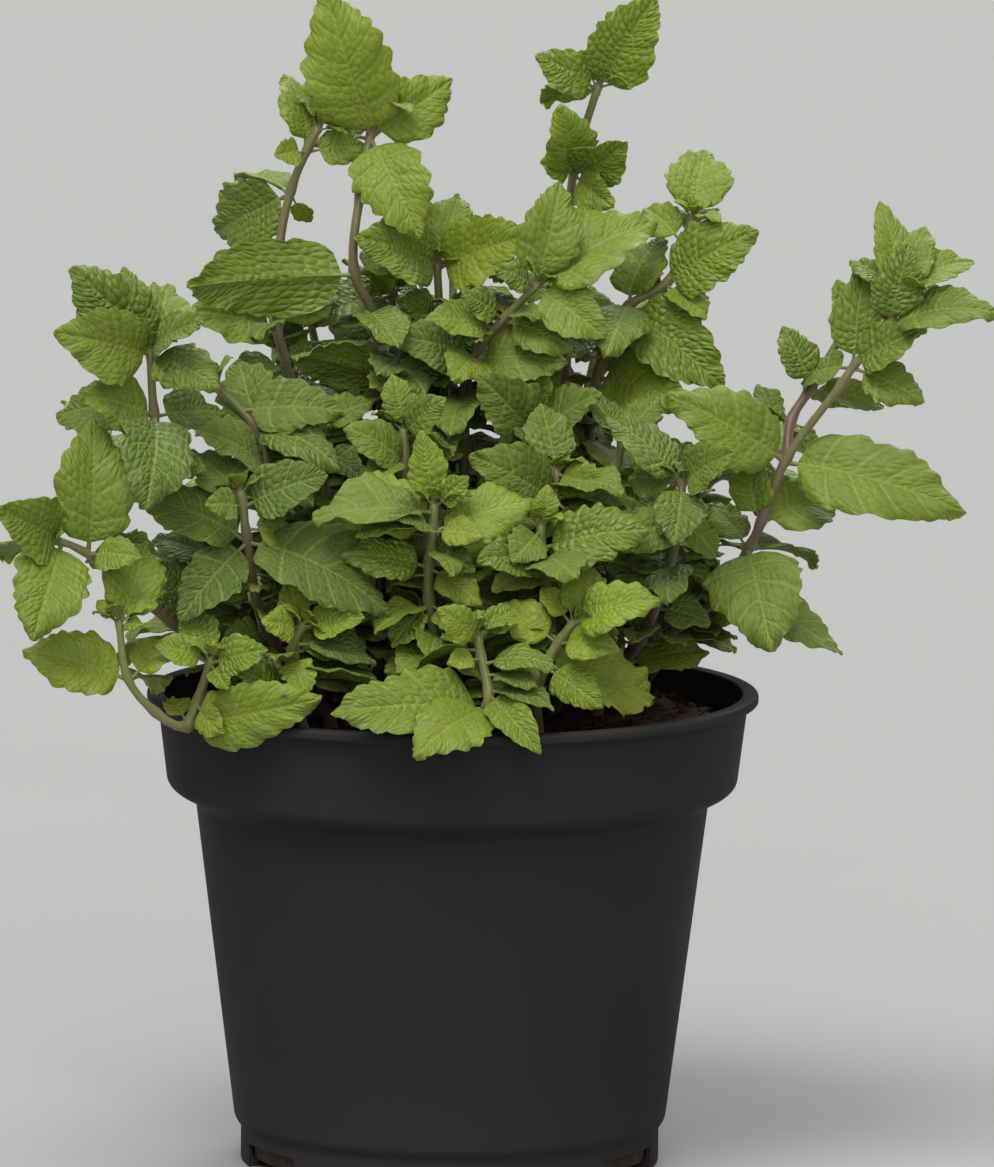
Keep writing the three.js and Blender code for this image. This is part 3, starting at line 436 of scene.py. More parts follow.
# %% The body of compost
EDGE_RADIUS = collar_inside(SOIL_LEVEL - 1) - GAP
LEDGE_GAP, STEP_GAP = 0.5, 0.2
SOIL_SIDES = 180
SOIL_ROWS = 60
angle = np.linspace(0, FULL_TURN, SOIL_SIDES, endpoint=False)
radius = EDGE_RADIUS * np.linspace(1 / SOIL_ROWS, 1, SOIL_ROWS)[:, None]
top_x, top_y = radius * np.cos(angle), radius * np.sin(angle)
top_rings = np.stack([top_x, top_y, rough_height(top_x, top_y)], axis=-1)
wall_points = np.array([
    (COLLAR_FOOT_RADIUS - WALL - GAP, INNER_LEDGE_HEIGHT + LEDGE_GAP),
    (BODY_TOP_RADIUS - WALL - GAP, BODY_TOP_HEIGHT + WALL + STEP_GAP),
    (FOOT_RADIUS - WALL - GAP, FLOOR + GAP),
])
soil_rings = np.concatenate([top_rings, turned(wall_points, SOIL_SIDES)])
middle_top = (0, 0, rough_height(np.zeros(1), np.zeros(1))[0])
soil_skin = skin(soil_rings, middle_top, (0, 0, FLOOR + GAP))
compost = compost_material()
soil = make_piece("compost", [soil_skin], compost, ["soil"], crease=80)
print("compost:", len(soil.data.polygons), "faces")

# %% Crumbs
CRUMBS = 1500
CRUMB_SMALLEST, CRUMB_MORE = 0.35, 1.1
CRUMB_SUNK = 0.15
CRUMB_FROM_EDGE = 1.2
throw = np.random.default_rng(11)


def scattered(count, within):
    """Places spread evenly over a disc: radius = R sqrt(random), at a random angle."""
    r, a = within * np.sqrt(throw.random(count)), throw.uniform(0, FULL_TURN, count)
    return r * np.cos(a), r * np.sin(a)


def crumb_skins():
    """Each crumb is a squashed ball of three rings of five points, each pushed in or out at random.

    Its size is smallest + more * random^3, so that most crumbs are small.
    """
    x, y = scattered(CRUMBS, EDGE_RADIUS - CRUMB_FROM_EDGE)
    size = CRUMB_SMALLEST + CRUMB_MORE * throw.random(CRUMBS) ** 3
    slope = np.array([0.25, 0.5, 0.75]) * math.pi
    turn = np.arange(5) * FULL_TURN / 5
    ball = np.stack([np.sin(slope)[:, None] * np.cos(turn), np.sin(slope)[:, None] * np.sin(turn),
                     np.cos(slope)[:, None] + 0 * turn], axis=-1)
    push = throw.uniform(0.65, 1.25, (CRUMBS, 3, 5, 1))
    squash = throw.uniform((0.8, 0.6, 0.45), (1.4, 1.0, 0.9), (CRUMBS, 3))[:, None, None, :]
    centre = np.stack([x, y, rough_height(x, y) + CRUMB_SUNK * size], axis=-1)
    rings = centre[:, None, None] + ball * push * squash * size[:, None, None, None]
    pole = np.array([0, 0, 0.8]) * size[:, None]
    return [skin(rings[k], centre[k] + pole[k], centre[k] - pole[k]) for k in range(CRUMBS)]


crumbs = make_piece("compost_crumbs", crumb_skins(), compost, crease=180)
print("crumbs:", len(crumbs.data.polygons), "faces")

# %% Fibres
FIBRES = 260
FIBRE_LENGTHS = 4, 13
FIBRE_BOW = 2.5
FIBRE_ARCH = 0.1, 0.9
FIBRE_THICK = 0.09, 0.17
FIBRE_FROM_EDGE, THREAD_FROM_EDGE = 6, 0.8


def fibre_skins():
    """Each fibre is a bent three-sided thread: a straight line plus a sideways bow and a low arch.

    Along it t runs from -1/2 to 1/2, and bow and arch both go as 1 - 4 t^2, so they are 0 at its ends. A
    point that would lie beyond the compost is drawn in to its edge.
    """
    x, y = scattered(FIBRES, EDGE_RADIUS - FIBRE_FROM_EDGE)
    heading = throw.uniform(0, FULL_TURN, FIBRES)
    length = throw.uniform(*FIBRE_LENGTHS, FIBRES)
    bow = throw.uniform(-FIBRE_BOW, FIBRE_BOW, FIBRES)
    t = np.linspace(-0.5, 0.5, 9)
    along, across = length[:, None] * t, bow[:, None] * (1 - 4 * t**2)
    px = x[:, None] + along * np.cos(heading)[:, None] - across * np.sin(heading)[:, None]
    py = y[:, None] + along * np.sin(heading)[:, None] + across * np.cos(heading)[:, None]
    reach = np.maximum(1, np.hypot(px, py) / (EDGE_RADIUS - THREAD_FROM_EDGE))
    px, py = px / reach, py / reach
    arch = throw.uniform(*FIBRE_ARCH, FIBRES)[:, None] * (1 - 4 * t**2)
    path = np.stack([px, py, rough_height(px, py) + arch], axis=-1)
    around = np.arange(3) * FULL_TURN / 3
    thick = throw.uniform(*FIBRE_THICK, FIBRES)[:, None, None]
    side = np.stack([-np.sin(heading), np.cos(heading), 0 * heading], axis=-1)[:, None, None]
    offset = side * np.cos(around)[:, None] + UPWARDS * np.sin(around)[:, None]
    rings = path[:, :, None] + offset * thick[..., None]
    return [skin(rings[k], path[k, 0], path[k, -1]) for k in range(FIBRES)]


fibres = make_piece("compost_fibres", fibre_skins(), fibre_material(), crease=180)
print("fibres:", len(fibres.data.polygons), "faces")

# %% [markdown]
# ## Where every shoot stands
#
# The plant was laid out from the front: each knot of a stem, and each leaf tip, is a place in a picture that
# is 994 wide and 1167 high, with its depth in millimetres from the pot's axis, negative towards the viewer.
# The next cell turns such a place into a point in the part's frame, by following the line of sight from the
# viewer's eye. The camera at the end uses the same eye and the same directions.

# %% The line of sight
VIEW_WIDTH, VIEW_HEIGHT = 994, 1167
RIM_SEEN_WIDTH = 612.4
VIEW_SCALE = 2 * RIM_RADIUS / RIM_SEEN_WIDTH
VIEW_DISTANCE = 2525
VIEW_TILT = math.radians(8.05)
VIEW_ROLL = math.radians(0.45)
VIEW_MIDDLE = np.array([9.2, 0, 123.9])

ahead = np.array([0, math.cos(VIEW_TILT), -math.sin(VIEW_TILT)])
towards_viewer = -ahead
level_up = np.array([0, math.sin(VIEW_TILT), math.cos(VIEW_TILT)])
across = np.array([1.0, 0, 0])
view_right = across * math.cos(VIEW_ROLL) + level_up * math.sin(VIEW_ROLL)
view_up = level_up * math.cos(VIEW_ROLL) - across * math.sin(VIEW_ROLL)
eye = VIEW_MIDDLE - ahead * VIEW_DISTANCE


def seen(x, y, depth):
    """The point at this depth that the viewer sees at (x, y): eye + ray * (depth - eye.y) / ray.y."""
    per_point = VIEW_SCALE / VIEW_DISTANCE
    ray = ahead + view_right * (x - VIEW_WIDTH / 2) * per_point + view_up * (VIEW_HEIGHT / 2 - y) * per_point
    return eye + ray * (depth - eye[1]) / ray[1]


# %% [markdown]
# Each shoot has the place of its root on the compost, its knots from the lowest to the highest, and the
# leaves at each knot. A leaf is the place of its tip, how far the tip reaches in depth, how much the blade is
# rolled about its own length in degrees, and how wide it looks for its length.
#
# Shoots differ in age, which is 0 for the youngest and 1 for the oldest. Young leaves are a bright yellow
# green and well lit, and old ones, deep in the plant, are a dull green with some blue in it. The stems of six
# shoots at the front are green as well, and the others are brown and purple.

# %% The shoots
SHOOTS = {
    "front_low": dict(age=0.32, green=True, root=(7, -45), knots=[
        ((487, 708, -58), [(330, 714, -11, 12, 0.54), (414, 757, -15, 30, 0.7)]),
        ((489, 690, -58), [(541, 754, -13, 10, 0.5)]),
        ((481, 656, -56), [(447, 664, -2, 35, 0.65)]),
        ((478, 636, -56), [(438, 608, -3, 15, 0.75), (515, 608, 1, 25, 0.65)]),
    ]),
    "front_right": dict(age=0.12, green=True, root=(18, -38), knots=[
        ((536, 700, -44), []),
        ((546, 664, -48), [(501, 672, -5, 25, 0.75), (603, 708, -6, 15, 0.62), (652, 697, 4, 45, 0.7)]),
        ((560, 640, -48), [(498, 603, 3, 20, 0.62), (620, 650, -6, 25, 0.6)]),
        ((574, 622, -49), [(596, 570, 2, 5, 0.85), (661, 600, -2, 20, 0.66), (541, 588, 4, 25, 0.6)]),
    ]),
    "front_left": dict(age=0.1, green=True, root=(-31, -38), knots=[
        ((290, 700, -44), [(236, 672, -2, 40, 0.6)]),
        ((292, 650, -46), [(306, 697, -6, 8, 0.85), (366, 645, 3, 40, 0.62)]),
        ((303, 625, -47), [(262, 622, -3, 20, 0.9), (365, 617, -3, 25, 0.6), (286, 580, 2, 10, 0.65)]),
    ]),
    "rim_left": dict(age=0.3, green=True, root=(-46, -27), knots=[
        ((209, 697, -34), []),
        ((187, 727, -46), [(322, 698, -7, 15, 0.46), (168, 700, 3, 30, 0.8)]),
        ((155, 712, -49), []),
        ((127, 677, -51), [(22, 650, -4, 25, 0.6), (180, 643, 4, 40, 0.6)]),
        ((119, 622, -51), [(97, 600, 1, 30, 0.6), (143, 625, -3, 30, 0.75), (146, 541, 1, 8, 0.75)]),
    ], side_knots=[
        ((187, 727, -46), []),
        ((198, 700, -46), [(224, 734, -5, 12, 0.85)]),
        ((211, 660, -48), [(190, 609, 3, 8, 0.75), (268, 650, -3, 20, 0.7), (156, 645, 4, 30, 0.65),
            (228, 690, -6, 10, 0.8)]),
    ]),
    "front_mid": dict(age=0.3, green=True, root=(-6, -28), knots=[
        ((436, 660, -36), [(384, 672, -5, 40, 0.6)]),
        ((429, 600, -40), [(392, 648, -5, 30, 0.62), (474, 645, -3, 30, 0.62)]),
        ((429, 563, -42), [(340, 556, -3, 28, 0.52), (482, 606, -5, 25, 0.55)]),
        ((433, 528, -43), [(338, 494, 2, 8, 0.74), (535, 500, 3, 28, 0.58), (484, 537, -5, 30, 0.62)]),
        ((434, 505, -43), [(421, 430, 0, 5, 0.52), (469, 476, -2, 12, 0.65)]),
    ]),
    "left_centre": dict(age=0.8, root=(-26, -22), knots=[
        ((266, 630, -33), [(222, 640, -5, 20, 0.75)]),
        ((247, 538, -40), [(389, 615, -5, 18, 0.6), (180, 622, -4, 20, 0.55), (138, 500, 3, 30, 0.5)]),
        ((243, 503, -42), [(328, 475, -3, 22, 0.62), (205, 505, -5, 20, 0.9)]),
        ((240, 492, -42), [(190, 452, 1, 35, 0.7)]),
    ]),
    "mid_right": dict(age=0.4, green=True, root=(17, -20), knots=[
        ((551, 640, -32), []),
        ((545, 575, -37), [(492, 592, -4, 25, 0.72), (606, 600, 2, 40, 0.62)]),
        ((541, 545, -39), [(651, 530, -3, 20, 0.6), (456, 550, 2, 35, 0.66)]),
        ((541, 525, -39), [(548, 484, 0, 8, 0.6)]),
    ]),
    "right_low": dict(age=0.7, root=(31, 4), knots=[
        ((640, 640, -14), []),
        ((668, 575, -24), [(604, 628, -5, 30, 0.62)]),
        ((680, 515, -30), [(622, 545, -3, 15, 0.8), (716, 558, 2, 30, 0.6)]),
        ((682, 480, -32), [(674, 546, -6, 5, 0.85), (735, 452, -2, 25, 0.75), (606, 418, 3, 45, 0.45),
            (628, 478, 3, 25, 0.8)]),
    ]),
    "left_mid": dict(age=0.46, root=(-40, -12), knots=[
        ((190, 640, -34), [(146, 557, 6, 35, 0.65)]),
        ((130, 590, -42), []),
        ((85, 552, -48), [(142, 558, -4, 25, 0.7), (92, 418, 5, 12, 0.6)]),
        ((58, 541, -50), [(-4, 508, -2, 10, 0.9), (32, 641, -5, 5, 0.82)]),
    ]),
    "left_upper": dict(age=0.64, root=(-31, -6), knots=[
        ((215, 560, -24), [(152, 540, 4, 40, 0.6)]),
        ((165, 470, -34), [(206, 470, -3, 35, 0.7)]),
        ((154, 412, -38), [(80, 396, -4, 22, 0.75), (145, 510, -10, 0, 0.92), (226, 414, 4, 35, 0.7),
            (56, 418, 8, 35, 0.6)]),
        ((150, 350, -38), [(72, 266, -2, 12, 0.68), (54, 332, -6, 20, 0.7), (203, 322, -5, 35, 0.75),
            (220, 389, -7, 28, 0.7), (168, 284, 2, 5, 0.9), (124, 267, 9, 20, 0.5)]),
    ]),
    "right_branch": dict(age=0.62, root=(33, 20), knots=[
        ((640, 650, 2), []),
        ((692, 619, -8), []),
        ((722, 592, -13), [(843, 655, -5, 50, 0.3), (690, 572, -4, 40, 0.5)]),
        ((750, 546, -17), [(772, 652, -9, 0, 0.95), (711, 508, 4, 40, 0.6)]),
        ((762, 520, -19), [(841, 493, 4, 20, 0.75), (747, 451, 4, 20, 0.6)]),
        ((787, 458, -20), [(666, 394, -6, 22, 0.56), (967, 513, -6, 25, 0.45)]),
        ((841, 385, -22), []),
        ((855, 364, -22), [(925, 402, -4, 20, 0.6), (866, 262, 4, 5, 0.5), (919, 331, -3, 25, 0.6)]),
        ((890, 325, -24), [(1002, 314, -4, 30, 0.48), (908, 243, 3, 0, 0.62)]),
        ((898, 290, -24), [(880, 200, 4, 20, 0.4), (926, 226, 6, 20, 0.7), (975, 262, 4, 40, 0.42),
            (849, 261, 4, 40, 0.5)]),
    ], side_knots=[
        ((787, 458, -20), []),
        ((791, 420, -15), []),
        ((812, 386, -13), [(782, 326, 2, 15, 0.6), (884, 408, 5, 30, 0.42)]),
        ((852, 318, -12), [(837, 279, 2, 20, 0.6)]),
    ]),
    "centre_low": dict(age=0.68, root=(13, -6), knots=[
        ((546, 600, -17), [(470, 590, -4, 35, 0.6)]),
        ((556, 498, -24), [(469, 455, -3, 15, 0.78), (614, 562, -4, 30, 0.62)]),
        ((556, 470, -24), [(606, 490, -4, 15, 0.85), (540, 403, 4, 15, 0.72)]),
    ]),
    "left_back_low": dict(age=0.66, root=(-22, -8), knots=[
        ((292, 580, -20), [(330, 528, -4, 25, 0.62)]),
        ((268, 470, -26), [(196, 432, -4, 22, 0.75), (314, 506, -3, 35, 0.62)]),
        ((258, 430, -25), [(238, 359, 3, 18, 0.8), (302, 392, 3, 25, 0.72)]),
        ((217, 386, -24), []),
    ]),
    "centre_left_low": dict(age=0.6, root=(-13, -10), knots=[
        ((398, 560, -20), []),
        ((405, 462, -23), [(343, 428, -2, 35, 0.62), (354, 502, -4, 30, 0.65), (458, 438, 2, 35, 0.65)]),
        ((404, 430, -23), [(392, 374, 2, 15, 0.65), (446, 398, -2, 20, 0.75)]),
    ]),
    "centre_right_low": dict(age=0.68, root=(22, 8), knots=[
        ((606, 600, -6), [(660, 640, -5, 35, 0.65)]),
        ((613, 500, -14), [(566, 480, -2, 35, 0.65), (660, 560, -3, 28, 0.62)]),
        ((622, 440, -16), [(660, 398, 2, 25, 0.65), (588, 396, 2, 25, 0.65), (662, 480, 2, 35, 0.65)]),
    ]),
    "curly_left": dict(age=0.85, root=(-20, 2), knots=[
        ((332, 560, -8), []),
        ((318, 450, -12), [(266, 462, -4, 30, 0.72), (364, 482, -4, 35, 0.62), (300, 510, -6, 25, 0.65)]),
        ((316, 425, -12), [(288, 388, 0, 15, 0.85), (374, 402, 2, 35, 0.55)]),
    ]),
    "centre_mid": dict(age=0.85, root=(11, 6), knots=[
        ((532, 520, -4), []),
        ((538, 440, -6), [(476, 374, -3, 15, 0.75), (602, 393, -2, 12, 0.85), (592, 447, 3, 35, 0.65),
            (496, 472, -2, 35, 0.65)]),
        ((540, 415, -6), [(541, 366, -2, 5, 0.7)]),
    ]),
    "right_back_low": dict(age=0.5, root=(40, 20), knots=[
        ((668, 650, 8), []),
        ((702, 585, -2), [(600, 562, -9, 28, 0.6), (664, 630, -5, 30, 0.6)]),
        ((712, 545, -5), [(676, 498, 2, 25, 0.62), (738, 505, 2, 30, 0.62)]),
    ]),
    "centre_tall": dict(age=0.55, root=(3, 8), knots=[
        ((464, 445, 0), []),
        ((466, 380, -2), [(420, 338, 2, 30, 0.72), (502, 424, -2, 35, 0.62)]),
        ((481, 345, -4), [(552, 372, 2, 30, 0.55)]),
        ((506, 317, -6), [(574, 350, -2, 28, 0.62), (462, 292, -4, 30, 0.65)]),
        ((538, 284, -8), [(560, 181, 4, 8, 0.62), (606, 338, -6, 10, 0.68), (658, 221, 1, 20, 0.64),
            (494, 268, -3, 25, 0.72)]),
    ]),
    "small_mid": dict(age=0.7, root=(-12, 6), knots=[
        ((400, 480, -2), []),
        ((393, 378, -4), [(291, 357, -4, 135, 0.5), (448, 364, 2, 35, 0.65)]),
        ((403, 347, -4), [(398, 308, 0, 15, 0.6), (440, 316, 2, 25, 0.62)]),
    ]),
    "tall_left": dict(age=0.4, root=(-27, 10), knots=[
        ((292, 400, -2), []),
        ((277, 326, -4), [(187, 312, -6, 35, 0.62), (336, 281, 6, 35, 0.72)]),
        ((279, 250, -3), []),
        ((291, 190, -2), [(216, 232, 5, 5, 0.95), (311, 222, 8, -20, 0.6)]),
        ((308, 148, -2), [(284, 74, 3, 20, 0.66), (274, 156, -4, 15, 0.95), (366, 146, 4, 10, 0.7)]),
        ((318, 128, -2), []),
    ]),
    "centre_left": dict(age=0.42, root=(-4, 20), knots=[
        ((445, 430, 10), []),
        ((440, 320, 8), [(396, 298, -4, 35, 0.66), (518, 300, 4, 35, 0.55)]),
        ((437, 264, 6), [(354, 238, -4, 22, 0.8), (532, 234, -3, 15, 0.75), (459, 194, 2, 0, 0.75),
            (421, 200, 7, 10, 0.75)]),
    ]),
    "right_tall": dict(age=0.38, root=(24, 18), knots=[
        ((588, 450, 8), []),
        ((598, 375, 6), [(664, 322, 5, 30, 0.62), (642, 394, -4, 35, 0.55)]),
        ((612, 332, 4), [(590, 285, 6, 35, 0.5)]),
        ((629, 305, 3), [(664, 236, 1, 20, 0.72), (724, 388, -8, 10, 0.62)]),
        ((668, 282, 2), [(759, 230, -4, 18, 0.66), (706, 320, -8, 20, 0.75)]),
        ((685, 240, 2), [(645, 208, 5, 15, 0.8)]),
        ((692, 217, 1), [(704, 150, 2, 0, 0.95)]),
    ]),
    "mid_tall": dict(age=0.4, root=(-15, 18), knots=[
        ((381, 362, 2), []),
        ((354, 271, -6), [(187, 288, -14, 152, 0.43), (414, 248, 10, 35, 0.62)]),
        ((360, 195, -4), []),
        ((371, 134, 2), [(420, 239, -9, 5, 0.72), (302, 150, 3, 10, 0.78), (324, -12, -5, 0, 0.64),
            (453, 78, 3, 12, 0.66)]),
        ((384, 105, 1), []),
    ]),
    "mid_left_back": dict(age=0.5, root=(-12, 29), knots=[
        ((386, 400, 18), []),
        ((393, 292, 15), [(303, 328, -12, 28, 0.62), (432, 243, 6, 30, 0.62)]),
    ]),
    "tall_right": dict(age=0.32, root=(14, 34), knots=[
        ((562, 420, 22), []),
        ((566, 270, 17), [(612, 245, 6, 30, 0.62), (523, 300, 6, 35, 0.62)]),
        ((574, 170, 14), [(560, 104, -2, 12, 0.8), (541, 160, -3, 25, 0.85), (627, 141, -3, 10, 0.9),
            (614, 207, -8, 10, 0.9)]),
        ((598, 86, 12), [(535, 55, -3, 12, 0.7), (655, -5, -3, 0, 0.68), (611, 21, 2, -20, 0.45)]),
    ]),
    "right_mid_back": dict(age=0.72, root=(36, 31), knots=[
        ((655, 590, 18), []),
        ((700, 492, 12), [(646, 436, 4, 30, 0.62), (660, 542, -6, 35, 0.62)]),
        ((752, 463, 10), [(733, 410, 2, 30, 0.62), (772, 502, 6, 35, 0.62)]),
        ((778, 430, 10), [(822, 455, 6, 35, 0.6), (758, 384, 6, 30, 0.62)]),
    ]),
}


# %% [markdown]
# ## Laying out the leaves
#
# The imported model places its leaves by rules, and the finer leaves must lie where those are. So the same
# rules are followed here. First comes the plan of each shoot, with a base, a tip, a roll and a width for
# every leaf.

# %% The leaves of a shoot
KNOT_STEP = 0.9
ROOTED = 11
COLLAR_OF_STEM = 2.5
BREADTH = 0.66
LEAST_BEND, MORE_BEND = 0.45, 0.6
LEAST_FOLD, MORE_FOLD = 0.16, 0.26
SMALLEST_COSINE = 0.62
STEEPEST = 0.9
FAR_LEAST, FAR_LONGEST, FAR_SPREAD = 15, 25, 1.7
LOW_EVERY, LOW_LENGTH, LOW_TURN_ON = 26, 19, 2.3
DROOP_RISE, DROOP_FALL = 0.12, 0.5
ROLL = 30


def random_from(state):
    """state = (state * 1664525 + 1013904223) mod 2^32, and the number is state / 2^32."""
    while True:
        state = (state * 1664525 + 1013904223) % 2**32
        yield state / 2**32


def curvature(draw):
    """How strongly a leaf is bent over its length, in radians, and folded along its midrib."""
    return dict(bend=LEAST_BEND + MORE_BEND * next(draw), fold=LEAST_FOLD + MORE_FOLD * next(draw))


def foot_of(root):
    """Two points under and over the root: a stem leaves the compost straight upwards."""
    return [root + UPWARDS * rise for rise in (-ROOTED, COLLAR_OF_STEM)]


def knot_leaf(knot, under, knot_depth, tip_seen, draw):
    """One leaf at a knot. What the viewer sees is its flat length and width, and its depth is worked out.

    width = flat length * shown / cos(turn), and the hidden part of its length is what makes the width the
    usual share BREADTH of the whole: sqrt((width / BREADTH)^2 - flat^2).
    """
    x, y, reach, turn, shown = tip_seen
    base = knot + unit(under - knot) * KNOT_STEP
    flat = np.linalg.norm(seen(x, y, knot_depth) - base)
    width = flat * shown / max(SMALLEST_COSINE, abs(math.cos(math.radians(turn))))
    hidden = math.sqrt(max(0, (width / BREADTH) ** 2 - flat**2))
    depth = np.sign(reach) * max(abs(reach), min(hidden, flat * STEEPEST))
    tip = seen(x, y, knot_depth + depth)
    breadth = width / np.linalg.norm(tip - base)
    return dict(base=base, tip=tip, turn=turn, breadth=breadth, face=towards_viewer, **curvature(draw))


def flat_leaf(base, length, heading, draw):
    """A leaf that lies flat, at a heading in radians from straight away from the viewer."""
    way = unit(np.array([math.sin(heading), math.cos(heading), DROOP_RISE - DROOP_FALL * next(draw)]))
    turn = ROLL * (next(draw) - 0.5)
    tip = base + way * length
    return dict(base=base, tip=tip, turn=turn, breadth=BREADTH, face=UPWARDS, **curvature(draw))


def far_leaf(others, draw):
    """The leaf that points away at a knot which has these others, if they are large."""
    mean = np.mean([np.linalg.norm(leaf["tip"] - leaf["base"]) for leaf in others])
    made = flat_leaf(others[0]["base"], min(mean, FAR_LONGEST), FAR_SPREAD * (next(draw) - 0.5), draw)
    return [made] if mean > FAR_LEAST else []


def low_leaves(foot, knot, draw):
    """Leaves on the bare part of a stem, each turned on from the last."""
    count = int(np.linalg.norm(knot - foot) / LOW_EVERY)
    first = FULL_TURN * next(draw)
    leaves = []
    for k in range(count):
        length = LOW_LENGTH * (0.8 + 0.4 * next(draw))
        base = foot + (knot - foot) * (k + 0.6) / count
        leaves.append(flat_leaf(base, length, first + LOW_TURN_ON * k, draw))
    return leaves


# %% The plan of a shoot
SEED, SHOOT_SEEDS = 20, 104729
AGE_OVER_STEM = 0.22
FAR_OLDER = 0.1
LOW_AGE = 0.95
GREEN_STEM, BROWN_STEM = 0.22, 0.95


def planned(number, name, age, root, knots, side_knots=(), green=False):
    """The stems and leaves of one shoot of the table, with the age of each leaf and the stems' colour."""
    draw = random_from(SEED + number * SHOOT_SEEDS)
    root = np.array([*root, soil_height(*root)])
    stems, leaves, flat_leaves = [], [], []
    for foot, row in ((foot_of(root), knots), ([], side_knots)):
        if not row:
            continue
        path = foot + [seen(*place) for place, _ in row]
        for i, (place, at_knot) in enumerate(row):
            under = path[max(0, len(foot) + i - 1)]
            age_here = age + AGE_OVER_STEM * (0.5 - i / len(row))
            near = [knot_leaf(path[len(foot) + i], under, place[2], leaf, draw) for leaf in at_knot]
            leaves += [dict(leaf, age=age_here) for leaf in near]
            if near:
                flat_leaves += [dict(leaf, age=age_here + FAR_OLDER) for leaf in far_leaf(near, draw)]
        if foot:
            flat_leaves += [dict(leaf, age=LOW_AGE) for leaf in low_leaves(foot[1], path[2], draw)]
        stems.append(np.array(path))
    return dict(name=name, root=root, stems=stems, leaves=leaves + flat_leaves, age=age,
                brown=GREEN_STEM if green else BROWN_STEM)


# %% [markdown]
# The far side can't be seen from the front. Its seven shoots are grown by a rule: they lean out from the
# middle, and each pair of leaves is a quarter turn from the last, as on every mint. The random draws come
# from a small generator, so they are the same on every run. A shoot may have been turned a few degrees to
# stand clear of its neighbours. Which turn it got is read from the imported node, which has the corner of its
# foot.

# %% The shoots at the back
BACK_SHOOTS = 7
BACK_FROM, BACK_TO = 16, 166
BACK_RADIUS = 44
BACK_LEAN = 36
BACK_HEIGHT = 82
BACK_PAIRS = 4
BACK_LOW_LEAF, BACK_HIGH_LEAF = 30.5, 16
INNER_RADIUS, INNER_LEAN, OUTER_HEIGHT = 0.62, 0.5, 0.62
SHIFTS = [0, 3, -3, 6, -6, 9, -9, 12, -12, 16, -16, 20, -20]
BACK_SEEDS = 7919
BACK_AGE, BACK_AGE_OVER_STEM = 0.55, 0.25


def grown(i, shift):
    """Shoot i of the far side, turned by a shift in degrees."""
    draw = random_from(SEED + i * BACK_SEEDS)
    inner = i % 2 == 1
    share = (i + 0.5) / BACK_SHOOTS
    angle = math.radians(BACK_FROM + (BACK_TO - BACK_FROM) * share + shift)
    out = np.array([math.cos(angle), math.sin(angle), 0])
    root = out * BACK_RADIUS * (INNER_RADIUS if inner else 1)
    root[2] = soil_height(root[0], root[1])
    lean = BACK_LEAN * (INNER_LEAN if inner else 1) * (0.8 + 0.4 * next(draw))
    height = BACK_HEIGHT * (1 if inner else OUTER_HEIGHT) * (0.85 + 0.3 * next(draw))
    share = np.arange(1, BACK_PAIRS + 1)[:, None] / BACK_PAIRS
    knots = root + out * lean * share**1.6 + UPWARDS * height * share
    leaves = []
    quarter = angle + next(draw)
    for k, base in enumerate(knots):
        usual = BACK_LOW_LEAF + (BACK_HIGH_LEAF - BACK_LOW_LEAF) * k / BACK_PAIRS
        length = usual * (0.85 + 0.3 * next(draw))
        for half in (0, math.pi):
            rise = 0.15 - 0.45 * next(draw)
            way = unit(np.array([math.cos(quarter + half), math.sin(quarter + half), rise]))
            turn = 20 * next(draw) - 10
            breadth = BREADTH + 0.15 * next(draw)
            leaves.append(dict(base=base, tip=base + way * length, turn=turn, breadth=breadth, face=UPWARDS,
                               age=BACK_AGE + BACK_AGE_OVER_STEM * (0.5 - k / BACK_PAIRS),
                               **curvature(draw)))
        quarter += math.pi / 2
    path = np.array(foot_of(root) + list(knots))
    return dict(name=f"back_{i + 1}", root=root, stems=[path], leaves=leaves, age=BACK_AGE, brown=BROWN_STEM)


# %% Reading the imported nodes
STEM_FOOT = 1.5


def node_corners(name):
    """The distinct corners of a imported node, in millimetres."""
    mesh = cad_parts[name].data
    corners = np.empty(3 * len(mesh.vertices))
    mesh.vertices.foreach_get("co", corners)
    return np.unique(np.round(corners.reshape(-1, 3) / MM, 3), axis=0)


def nearest(points, corners):
    """For each point, the distance to the nearest of the corners."""
    return np.linalg.norm(points[..., None, :] - corners, axis=-1).min(axis=-1)


def as_packed(i):
    """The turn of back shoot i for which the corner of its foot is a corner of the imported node."""
    corners = node_corners(f"back_{i + 1}")
    tries = [grown(i, shift) for shift in SHIFTS]
    feet = np.array([plan["root"] + (STEM_FOOT, 0, -ROOTED) for plan in tries])
    return tries[int(np.argmin(nearest(feet, corners)))]


plans = [planned(number, name, **shoot) for number, (name, shoot) in enumerate(SHOOTS.items())]
plans += [as_packed(i) for i in range(BACK_SHOOTS)]
print("shoots:", len(plans), "leaves planned:", sum(len(plan["leaves"]) for plan in plans))

# %% [markdown]
# ## The frame of a leaf
#
# A leaf is bent over its length like a bow and folded a little along its midrib. Its points are given by s,
# which runs from the stem (0) to the tip (1), by the distance across from the midrib, and by a lift off the
# surface.
#
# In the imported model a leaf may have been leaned, rolled or made smaller to keep clear of its neighbours. So
# every allowed change is tried, and the one whose tip and teeth are corners of the node is kept.

# %% Leaf frames
PETIOLE = 2.6
LONGEST_STALK = 0.3
UP_AND_RIGHT = 0.3, 0, 1


def outline(u):
    """Half width of a blade as a share of the widest: sin(pi u^0.7)^0.65, round below and pointed above."""
    return np.sin(math.pi * np.clip(u, 0, 1) ** 0.7).clip(0) ** 0.65


